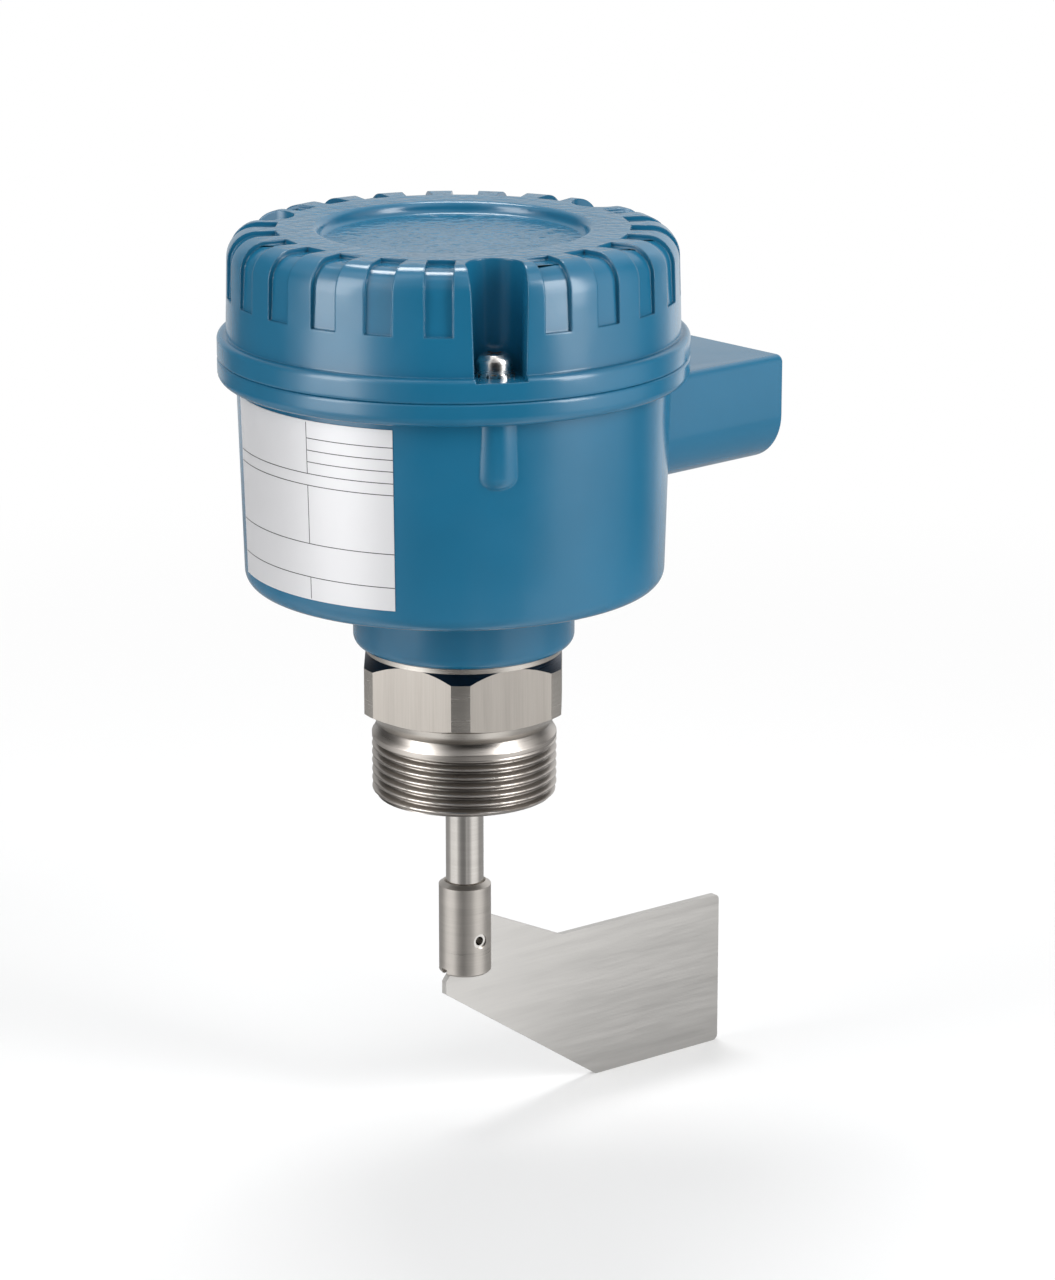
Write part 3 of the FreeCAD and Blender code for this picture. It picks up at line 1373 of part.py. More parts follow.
def save(parts):
    """Checks every object, then writes one file for each sub-part."""
    DOC.recompute()
    for thing in DOC.Objects:
        if "Invalid" in thing.State or "Error" in thing.State:
            owner = thing.getParentGeoFeatureGroup()
            raise RuntimeError(f"{thing.Label} of {owner.Label if owner else 'document'}: {thing.State}")
    for part in parts:
        if part.Shape.isNull() or not part.Shape.isValid():
            raise RuntimeError(f"{part.Label} has no valid shape")
    os.makedirs("parts", exist_ok=True)
    for part in parts:
        part.Shape.exportStep(f"parts/{part.Label}.step")


save(build())
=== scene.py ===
"""Looks of a rotary paddle level switch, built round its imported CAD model.

The frame gives every solid in metres, in the part's own axes: the origin on the pipe thread's
axis at its upper end, +Z up to the lid and +X along the conduit boss. The photograph was taken
from the front left and a little above, so the camera stands there.
"""

import logging
import math
from dataclasses import dataclass, field
from enum import Enum
from typing import Any

import bmesh
import bpy
from mathutils import Matrix, Vector


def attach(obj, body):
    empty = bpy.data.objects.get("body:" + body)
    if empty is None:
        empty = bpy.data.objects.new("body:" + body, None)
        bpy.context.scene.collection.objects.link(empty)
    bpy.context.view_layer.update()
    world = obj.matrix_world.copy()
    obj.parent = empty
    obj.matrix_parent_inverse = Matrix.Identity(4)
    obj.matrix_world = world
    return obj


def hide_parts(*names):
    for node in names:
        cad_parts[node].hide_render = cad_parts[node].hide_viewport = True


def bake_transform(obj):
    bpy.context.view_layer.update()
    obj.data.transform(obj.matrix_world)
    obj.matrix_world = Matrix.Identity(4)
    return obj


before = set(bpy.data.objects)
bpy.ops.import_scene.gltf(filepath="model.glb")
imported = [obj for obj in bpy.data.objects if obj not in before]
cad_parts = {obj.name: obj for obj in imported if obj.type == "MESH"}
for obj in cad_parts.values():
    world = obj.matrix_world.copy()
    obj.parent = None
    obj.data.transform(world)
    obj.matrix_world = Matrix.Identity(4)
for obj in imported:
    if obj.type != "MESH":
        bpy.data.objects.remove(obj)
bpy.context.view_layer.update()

Tree, Node, Socket = bpy.types.NodeTree, bpy.types.Node, bpy.types.NodeSocket
Piece, Mesh, Corner = bpy.types.Object, bmesh.types.BMesh, bmesh.types.BMVert
Stops, Rules = tuple[tuple[float, float], ...], tuple[tuple[float, float, float], ...]
LOG = logging.getLogger("level_switch")
MM = 0.001
HOUSING_AXIS = Vector((-3.0 * MM, 0.0, 0.0))
# Most of a noise value lies between these
NOISE_SPAN = (0.3, 0.7)


class Body(Enum):
    """Bodies of the frame that a piece can ride on."""

    HOUSING = "housing"
    CARRIAGE = "motor_carriage"
    LID = "lid"


class Grain(Enum):
    """How a steel surface was worked, and so which way its fine lines run."""

    TURNED = "turned"
    MILLED = "milled"
    ROLLED = "rolled"


def linear(code: str) -> tuple[float, float, float, float]:
    """Turns an sRGB hex colour into linear values.

    Args:
        code: Six hex digits after a hash.

    Returns:
        Red, green, blue and alpha for a colour socket.
    """
    parts = [int(code[i : i + 2], 16) / 255 for i in (1, 3, 5)]
    red, green, blue = (p / 12.92 if p <= 0.04045 else ((p + 0.055) / 1.055) ** 2.4 for p in parts)
    return red, green, blue, 1.0


def add_node(tree: Tree, kind: str, inputs: dict[str | int, Any] | None = None, **options: Any) -> Node:
    """Adds a node with its settings and links.

    Args:
        tree: The node tree that gets it.
        kind: The node's type name.
        inputs: Socket name or number, with a value or the socket it is linked from.
        options: The node's own settings.

    Returns:
        The new node.
    """
    made = tree.nodes.new(kind)
    for name, choice in options.items():
        setattr(made, name, choice)
    for name, given in (inputs or {}).items():
        if isinstance(given, Socket):
            tree.links.new(given, made.inputs[name])
        else:
            made.inputs[name].default_value = given
    return made


def calc(tree: Tree, operation: str, *inputs: Socket | float) -> Socket:
    """The result of a math node with the given inputs."""
    return add_node(tree, "ShaderNodeMath", dict(enumerate(inputs)), operation=operation).outputs[0]


def mapped(
    tree: Tree, given: Socket, start: float, end: float, low: float = 0.0, high: float = 1.0, **options: Any
) -> Socket:
    """Maps a value from one span to another and holds it at both ends.

    Args:
        tree: The node tree.
        given: The value.
        start: Where it starts to count.
        end: Where it ends to count.
        low: The result at the start.
        high: The result at the end.
        options: The node's own settings.

    Returns:
        The mapped value.
    """
    span = {"Value": given, "From Min": start, "From Max": end, "To Min": low, "To Max": high}
    return add_node(tree, "ShaderNodeMapRange", span, **options).outputs[0]


@dataclass(frozen=True)
class Finish:
    """What every finish shares: a name, a colour and the shader's own values."""

    name: str
    colour: str
    roughness: float
    metallic: float = 0.0
    coat: float = 0.0
    coat_roughness: float = 0.12
    anisotropy: float = 0.0

    def material(self) -> bpy.types.Material:
        """Makes the material once and gives it back on later calls.

        Returns:
            The finished material.
        """
        known = bpy.data.materials.get(self.name)
        if known is not None:
            return known
        made = bpy.data.materials.new(self.name)
        made.use_nodes = True
        tree = made.node_tree
        tree.nodes.clear()
        look = {"Base Color": linear(self.colour), "Roughness": self.roughness, "Metallic": self.metallic}
        shader = add_node(tree, "ShaderNodeBsdfPrincipled", look)
        if self.coat:
            shader.inputs["Coat Weight"].default_value = self.coat
            shader.inputs["Coat Roughness"].default_value = self.coat_roughness
        if self.anisotropy:
            shader.inputs["Anisotropic"].default_value = self.anisotropy
        add_node(tree, "ShaderNodeOutputMaterial", {"Surface": shader.outputs[0]})
        place = add_node(tree, "ShaderNodeTexCoord").outputs["Object"]
        self.dress(tree, shader, place)
        return made

    def dress(self, tree: Tree, shader: Node, place: Socket) -> None:
        """Adds the finish's own texture; a plain finish gets cloudy gloss and a fine tooth.

        Args:
            tree: The material's tree.
            shader: The Principled node.
            place: Coordinates in metres.
        """
        self.cloud(tree, shader, place, size_mm=6.0, swing=0.04)
        tooth = self.grains(tree, place, size_mm=0.5, detail=3.0)
        self.relief(tree, shader, tooth, depth_mm=0.004)

    def grains(self, tree: Tree, place: Socket, size_mm: float, detail: float) -> Socket:
        """Even noise whose lumps have the given size.

        Args:
            tree: The material's tree.
            place: Coordinates in metres.
            size_mm: Size of one lump.
            detail: How many finer layers are added.

        Returns:
            The noise value.
        """
        scale = {"Vector": place, "Scale": 1 / (size_mm * MM), "Detail": detail}
        return add_node(tree, "ShaderNodeTexNoise", scale).outputs[0]

    def cloud(self, tree: Tree, shader: Node, place: Socket, size_mm: float, swing: float) -> None:
        """Lets the roughness drift a little from place to place, as on any real surface.

        Args:
            tree: The material's tree.
            shader: The Principled node.
            place: Coordinates in metres.
            size_mm: Size of one cloud.
            swing: How far the roughness drifts either way.
        """
        noise = self.grains(tree, place, size_mm, detail=4.0)
        low, high = max(0.02, self.roughness - swing), self.roughness + swing
        gloss = mapped(tree, noise, *NOISE_SPAN, low, high)
        tree.links.new(gloss, shader.inputs["Roughness"])

    def shaded(self, tree: Tree, shader: Node, level: Socket) -> None:
        """Lightens or darkens the finish's colour by a pattern.

        Args:
            tree: The material's tree.
            shader: The Principled node.
            level: The pattern, where 1 leaves the colour as it is.
        """
        tint = {"Color": linear(self.colour), "Value": level}
        toned = add_node(tree, "ShaderNodeHueSaturation", tint).outputs[0]
        tree.links.new(toned, shader.inputs["Base Color"])

    def relief(self, tree: Tree, shader: Node, height: Socket, depth_mm: float) -> Node:
        """Raises the surface by a height pattern.

        Args:
            tree: The material's tree.
            shader: The Principled node.
            height: The pattern, 0 to 1.
            depth_mm: Height of the full pattern.

        Returns:
            The bump node.
        """
        raised = {"Height": height, "Strength": 1.0, "Distance": depth_mm * MM}
        bump = add_node(tree, "ShaderNodeBump", raised)
        tree.links.new(bump.outputs[0], shader.inputs["Normal"])
        return bump


@dataclass(frozen=True)
class PowderCoat(Finish):
    """Polyester powder coat on cast aluminium, sprayed and baked.

    The melt leaves an orange peel about a millimetre and a half across. On the lid's flat top the
    casting's skin shows through as a coarser, lightly hammered pattern.
    """

    peel_mm: float = 1.6
    peel_depth_mm: float = 0.003
    hammer_mm: float = 2.8
    hammer_depth_mm: float = 0.3
    hammer_light_and_shade_tone: float = 0.1
    edge_mm: float = 0.7
    drift_mm: float = 30.0
    drift_tone: float = 0.05
    top_mm: tuple[float, float] = (126.5, 127.8)
    top_lean: tuple[float, float] = (0.95, 0.995)

    def dress(self, tree: Tree, shader: Node, place: Socket) -> None:
        """Orange peel everywhere, the hammered skin on top with painted light and shade on its ripples, and
        rounded casting edges.

        Args:
            tree: The material's tree.
            shader: The Principled node.
            place: Coordinates in metres.
        """
        self.cloud(tree, shader, place, size_mm=9.0, swing=0.03)
        top = self.flat_top(tree, place)
        peel = self.grains(tree, place, self.peel_mm, detail=1.0)
        hammer = self.grains(tree, place, self.hammer_mm, detail=1.5)
        skins = {0: top, 2: peel, 3: hammer}
        pattern = add_node(tree, "ShaderNodeMix", skins, data_type="FLOAT").outputs[0]
        depth = mapped(tree, top, 0, 1, low=self.peel_depth_mm / self.hammer_depth_mm)
        bump = self.relief(tree, shader, pattern, self.hammer_depth_mm)
        tree.links.new(depth, bump.inputs["Strength"])
        edge = add_node(tree, "ShaderNodeBevel", {"Radius": self.edge_mm * MM}, samples=6)
        tree.links.new(edge.outputs[0], bump.inputs["Normal"])
        drift = self.grains(tree, place, self.drift_mm, detail=2.0)
        level = mapped(tree, drift, *NOISE_SPAN, 1 - self.drift_tone, 1 + self.drift_tone)
        # Painted light and shade: the hammered skin's lumps are lighter and its hollows darker, on the flat
        # top only
        ripple_light_and_shade = mapped(tree, hammer, *NOISE_SPAN, -self.hammer_light_and_shade_tone, self.hammer_light_and_shade_tone)
        self.shaded(tree, shader, calc(tree, "MULTIPLY_ADD", ripple_light_and_shade, top, level))

    def flat_top(self, tree: Tree, place: Socket) -> Socket:
        """Finds the lid's flat top by its height and by the way it faces.

        Args:
            tree: The material's tree.
            place: Coordinates in metres.

        Returns:
            1 on the flat top and 0 elsewhere.
        """
        height = add_node(tree, "ShaderNodeSeparateXYZ", {0: place}).outputs["Z"]
        low, high = self.top_mm
        above = mapped(tree, height, low * MM, high * MM)
        normal = add_node(tree, "ShaderNodeNewGeometry").outputs["Normal"]
        upward = add_node(tree, "ShaderNodeSeparateXYZ", {0: normal}).outputs["Z"]
        return calc(tree, "MULTIPLY", above, mapped(tree, upward, *self.top_lean))


@dataclass(frozen=True)
class Steel(Finish):
    """Metal whose tool left fine parallel lines.

    Turning leaves rings, milling and grinding leave upright lines, rolling leaves a faint grain
    along the sheet. Real lines lie under 0.1 mm apart; they are drawn a little coarser to show.
    """

    grain: Grain = Grain.TURNED
    line_mm: float = 0.3
    depth_mm: float = 0.002
    tone: float = 0.08
    gloss_swing: float = 0.05
    lines_span: tuple[float, float] = (0.7, 1.3)
    groove_mm: tuple[float, float] | None = None
    groove_oil_and_shade_tone: float = 0.55

    def dress(self, tree: Tree, shader: Node, place: Socket) -> None:
        """Stretches noise into lines that change the relief, the gloss and the tone.

        Args:
            tree: The material's tree.
            shader: The Principled node.
            place: Coordinates in metres.
        """
        stretch = {
            Grain.TURNED: (0.02, 0.02, 1.0),
            Grain.MILLED: (1.0, 1.0, 0.02),
            Grain.ROLLED: (0.04, 0.04, 1.0),
        }[self.grain]
        long = add_node(tree, "ShaderNodeMapping", {"Vector": place, "Scale": stretch}).outputs[0]
        lines = self.grains(tree, long, self.line_mm, detail=3.0)
        broad = self.grains(tree, long, self.line_mm * 9, detail=2.0)
        self.relief(tree, shader, lines, self.depth_mm)
        both = calc(tree, "ADD", lines, broad)
        swing = self.gloss_swing
        gloss = mapped(tree, both, *self.lines_span, self.roughness - swing, self.roughness + swing)
        tree.links.new(gloss, shader.inputs["Roughness"])
        level = mapped(tree, both, *self.lines_span, 1 - self.tone, 1 + self.tone / 2)
        # Painted shade and cutting oil: darker towards the bottoms of the thread's grooves
        if self.groove_mm:
            level = calc(tree, "MULTIPLY", level, self.depth(tree, place))
        self.shaded(tree, shader, level)
        if self.grain is Grain.TURNED and self.anisotropy:
            ring = add_node(tree, "ShaderNodeTangent", direction_type="RADIAL", axis="Z")
            tree.links.new(ring.outputs[0], shader.inputs["Tangent"])

    def depth(self, tree: Tree, place: Socket) -> Socket:
        """Darkens a groove towards its bottom: painted shade where little light falls, and cutting oil that
        stays there.

        Args:
            tree: The material's tree.
            place: Coordinates in metres.

        Returns:
            The tone by the radius, 1 at the crests.
        """
        level = {0: place, 1: (1, 1, 0)}
        flat = add_node(tree, "ShaderNodeVectorMath", level, operation="MULTIPLY").outputs[0]
        radius = add_node(tree, "ShaderNodeVectorMath", {0: flat}, operation="LENGTH").outputs["Value"]
        bottom, crest = self.groove_mm
        return mapped(tree, radius, bottom * MM, crest * MM, low=self.groove_oil_and_shade_tone)


@dataclass(frozen=True)
class RuledFoil(Finish):
    """Printed aluminium foil, satin varnished, with thin black rules and no lettering.

    The rules are drawn from the angle round the housing and the height, in millimetres from the
    plate's upper left corner.
    """

    start_deg: float = 153.2
    radius_mm: float = 54.6
    top_mm: float = 91.3
    rule_mm: float = 0.22
    rule_colour: str = "#23262a"
    level_rules: Rules = ()
    upright_rules: Rules = ()

    def dress(self, tree: Tree, shader: Node, place: Socket) -> None:
        """Draws each rule as a thin box in plate coordinates and darkens the foil there.

        Args:
            tree: The material's tree.
            shader: The Principled node.
            place: Coordinates in metres.
        """
        moved = {0: place, 1: -HOUSING_AXIS}
        centred = add_node(tree, "ShaderNodeVectorMath", moved, operation="ADD").outputs[0]
        axes = add_node(tree, "ShaderNodeSeparateXYZ", {0: centred})
        back, side = (calc(tree, "MULTIPLY", axes.outputs[axis], -1.0) for axis in ("X", "Y"))
        angle = calc(tree, "ARCTAN2", side, back)
        spread = calc(tree, "SUBTRACT", angle, math.radians(self.start_deg - 180))
        along = calc(tree, "MULTIPLY", spread, self.radius_mm)
        down = calc(tree, "MULTIPLY_ADD", axes.outputs["Z"], -1 / MM, self.top_mm)
        ink: Socket | float = 0.0
        for across, travel, rules in ((down, along, self.level_rules), (along, down, self.upright_rules)):
            for at, low, high in rules:
                line = calc(tree, "COMPARE", across, at, self.rule_mm / 2)
                reach = calc(tree, "COMPARE", travel, (low + high) / 2, (high - low) / 2)
                ink = calc(tree, "MAXIMUM", ink, calc(tree, "MULTIPLY", line, reach))
        mix = {0: ink, 6: linear(self.colour), 7: linear(self.rule_colour)}
        printed = add_node(tree, "ShaderNodeMix", mix, data_type="RGBA").outputs[2]
        tree.links.new(printed, shader.inputs["Base Color"])
        self.cloud(tree, shader, place, size_mm=3.0, swing=0.03)
        skin = self.grains(tree, place, size_mm=0.35, detail=2.0)
        self.relief(tree, shader, skin, depth_mm=0.002)


# Castings: polyester powder coat, satin gloss, lumps of an orange peel catch the light
BLUE_COAT = PowderCoat("powder_coat_on_cast_aluminium", "#1c6789", 0.17)
# Turned stainless bar: rings from the tool stretch each highlight across the axis
TURNED_STEEL = Steel("turned_stainless_steel", "#c4bfb8", 0.24, 1.0, anisotropy=0.45)
# Thread cut in the same bar: dark between the crests, from painted shade and cutting oil
THREAD_STEEL = Steel("threaded_stainless_steel", "#b4aea8", 0.3, 1.0, groove_mm=(22.3, 23.8))
# Ground shaft: the studio's bright cards stand in it as crisp upright bands
SHAFT_STEEL = Steel("ground_stainless_shaft", "#c4c0bb", 0.13, 1.0, anisotropy=0.1, depth_mm=0.0007)
# Milled hexagon flats: upright lines, duller than the turned parts
MILLED_STEEL = Steel(
    "milled_stainless_steel", "#98938d", 0.38, 1.0, grain=Grain.MILLED, line_mm=0.35, tone=0.1
)
# Upper chamfer of the hexagon: its colour is painted dark, a painted reflection of the shade under the
# housing
CHAMFER_PAINTED_SHADE_STEEL = Steel("chamfer_steel_painted_shade", "#3d434c", 0.3, 1.0)
# Cold rolled stainless sheet with a matt skin: a broad soft sheen and almost no lines
SHEET_STEEL = Steel(
    "rolled_stainless_sheet", "#c2c0bd", 0.42, 1.0, grain=Grain.ROLLED, line_mm=0.5, tone=0.05
)
# Bead blasted and brushed sleeve: soft, with rings that only just show
BLASTED_STEEL = Steel("blasted_stainless_steel", "#b9b4ae", 0.32, 1.0, anisotropy=0.3, tone=0.1)
# Bright stainless fasteners: tumbled smooth, so they mirror the studio
BRIGHT_STEEL = Steel(
    "bright_stainless_fastener", "#d2cfcb", 0.25, 1.0, line_mm=0.6, depth_mm=0.001, tone=0.03
)
# Ground bearing rings: fine and bright
GROUND_STEEL = Steel("ground_bearing_steel", "#b7babd", 0.2, 1.0, anisotropy=0.4)
# Zinc plated sheet and screws: bluish and a little cloudy
ZINC_STEEL = Steel("zinc_plated_steel", "#b4bcc2", 0.3, 1.0, grain=Grain.ROLLED, line_mm=1.2, tone=0.12)
# Nickel plated brass: warm and smooth
NICKEL_BRASS = Steel("nickel_plated_brass", "#c9c2ae", 0.22, 1.0, line_mm=0.5)
# Blue tempered spring wire and strip
SPRING_STEEL = Steel("spring_steel", "#9a9ea4", 0.22, 1.0, line_mm=0.4)
# Nitrile rubber: moulded, matt
RUBBER = Finish("moulded_nitrile_rubber", "#17181a", 0.62)
# Glass filled polyamide switch cases: moulded, fine spark eroded skin
BLACK_PLASTIC = Finish("moulded_black_polyamide", "#1b1c1f", 0.45)
# Green polyamide of the terminal blocks
GREEN_PLASTIC = Finish("moulded_green_polyamide", "#2f7d4a", 0.4)
# Glass epoxy board under green solder resist: glossy
BOARD_RESIST = Finish("glass_epoxy_board", "#0f5a35", 0.25, coat=0.4)
# Satin foil of the rating plate, lettering left off
PLATE_FOIL = RuledFoil(
    "printed_aluminium_foil",
    "#d6d6d8",
    0.4,
    metallic=0.2,
    level_rules=(
        (4.45, 32.8, 57.0), (7.5, 32.8, 57.0), (10.45, 32.8, 57.0),
        (13.45, 0.4, 57.0), (16.4, 0.4, 57.0), (31.3, 0.4, 57.0), (39.85, 0.4, 57.0),
    ),
    upright_rules=((32.8, 0.4, 13.45), (32.8, 16.4, 31.3), (32.8, 39.85, 45.4)),
)

NODE_FINISH: dict[Finish, tuple[str, ...]] = {
    SHAFT_STEEL: ("drive_shaft", "motor_shaft"),
    BLASTED_STEEL: ("paddle_sleeve",),
    SHEET_STEEL: ("paddle_blade",),
    BRIGHT_STEEL: ("lid_screws", "spring_washers", "tooth_washers", "spring_pin"),
    GROUND_STEEL: ("lower_bearing", "upper_bearing", "bearing_ring", "yoke_ring"),
    RUBBER: ("neck_ring", "shaft_seal", "lid_gasket"),
    NICKEL_BRASS: ("neck_nut", "coupling", "board_pillars", "earth_clamp", "spring_post"),
    PLATE_FOIL: ("rating_label",),
    ZINC_STEEL: (
        "swing_yoke", "switch_bracket", "gearbox", "motor_can", "trip_pin", "spring_stud",
        "grub_screws", "motor_screws", "bracket_screws", "switch_screws", "board_screws",
        "earth_screw", "terminal_screws",
    ),
    SPRING_STEEL: ("signal_lever", "stop_lever"),
    BLACK_PLASTIC: ("signal_switch", "stop_switch", "capacitor_block", "transformer", "relay"),
    BOARD_RESIST: ("terminal_board",),
    GREEN_PLASTIC: ("terminal_block_left", "terminal_block_right"),
}


def dress_nodes() -> None:
    """Gives every CAD node that stays its finish."""
    for finish, names in NODE_FINISH.items():
        for name in names:
            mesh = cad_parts[name].data
            mesh.materials.clear()
            mesh.materials.append(finish.material())
        LOG.info("%s on %d nodes", finish.name, len(names))


def point_at(radius: float, turn: float, height: float) -> Vector:
    """A point at a radius and height in millimetres and an angle in radians, in metres."""
    return Vector((radius * math.cos(turn), radius * math.sin(turn), height)) * MM


def smooth(mesh: Mesh, smooth_deg: float) -> None:
    """Shades faces that meet at less than an angle as one surface.

    Args:
        mesh: The mesh.
        smooth_deg: The angle.
    """
    for face in mesh.faces:
        face.smooth = True
    for edge in mesh.edges:
        edge.smooth = edge.calc_face_angle(0.0) < math.radians(smooth_deg)


def new_piece(name: str, mesh: Mesh, finish: Finish, smooth_deg: float = 32.0) -> Piece:
    """Turns a bmesh into an object with one finish.

    Args:
        name: The piece's name.
        mesh: Its mesh, in metres, freed here.
        finish: The finish of all its faces.
        smooth_deg: Faces that meet at less than this angle are shaded as one surface.

    Returns:
        The object, linked to the scene.
    """
    data = bpy.data.meshes.new(name)
    bmesh.ops.recalc_face_normals(mesh, faces=mesh.faces)
    smooth(mesh, smooth_deg)
    mesh.to_mesh(data)
    mesh.free()
    data.materials.append(finish.material())
    piece = bpy.data.objects.new(name, data)
    bpy.context.scene.collection.objects.link(piece)
    return piece


def settle(piece: Piece, smooth_deg: float, weld_mm: float = 0.004) -> None:
    """Clears a cut mesh of slivers and sets which of its edges are shaded sharp.

    Args:
        piece: The piece whose mesh was cut.
        smooth_deg: Faces that meet at less than this angle are shaded as one surface.
        weld_mm: Corners closer than this are joined.
    """
    mesh = bmesh.new()
    mesh.from_mesh(piece.data)
    bmesh.ops.remove_doubles(mesh, verts=mesh.verts, dist=weld_mm * MM)
    bmesh.ops.dissolve_degenerate(mesh, edges=mesh.edges, dist=weld_mm * MM)
    bmesh.ops.triangulate(mesh, faces=[face for face in mesh.faces if len(face.verts) > 4])
    smooth(mesh, smooth_deg)
    mesh.to_mesh(piece.data)
    mesh.free()


def join_rings(mesh: Mesh, rings: list[list[Corner]]) -> None:
    """Adds faces from each closed ring to the next, and from the last back to the first.

    Args:
        mesh: The mesh that has the rings' corners.
        rings: Rings of equal length.
    """
    for ring, after in zip(rings, rings[1:] + rings[:1]):
        for index in range(len(ring)):
            nxt = (index + 1) % len(ring)
            mesh.faces.new((ring[index], after[index], after[nxt], ring[nxt]))


def close_bar(mesh: Mesh, lower: list[Corner], upper: list[Corner]) -> None:
    """Adds the ends and sides of an upright bar.

    Args:
        mesh: The mesh that has the bar's corners.
        lower: Corners of its lower end.
        upper: As many corners of its upper end.
    """
    mesh.faces.new(lower[::-1])
    mesh.faces.new(upper)
    for index in range(len(lower)):
        nxt = (index + 1) % len(lower)
        mesh.faces.new((lower[index], lower[nxt], upper[nxt], upper[index]))


def lathe(profile: list[tuple[float, float]], segments: int) -> Mesh:
    """Turns a closed profile of (radius, height) in millimetres about the upright axis.

    Args:
        profile: Corners of the profile, in order.
        segments: Faces round the axis.

    Returns:
        The turned mesh.
    """
    mesh = bmesh.new()
    rings = []
    for step in range(segments):
        turn = 2 * math.pi * step / segments
        rings.append([mesh.verts.new(point_at(r, turn, z)) for r, z in profile])
    join_rings(mesh, rings)
    return mesh


def apply_modifiers(piece: Piece) -> None:
    """Puts the result of a piece's modifiers into its mesh.

    Args:
        piece: The piece, whose modifiers are then gone.
    """
    graph = bpy.context.evaluated_depsgraph_get()
    made = bpy.data.meshes.new_from_object(piece.evaluated_get(graph))
    piece.modifiers.clear()
    piece.data = made


def boolean(piece: Piece, tool: Piece, operation: str) -> None:
    """Changes a piece by another; faces that come from the other keep its finish.

    Args:
        piece: The piece that changes.
        tool: The other piece, which stays.
        operation: DIFFERENCE, UNION or INTERSECT.
    """
    cut = piece.modifiers.new("cut", "BOOLEAN")
    cut.object = tool
    cut.operation = operation
    cut.solver = "EXACT"
    cut.material_mode = "TRANSFER"
    apply_modifiers(piece)


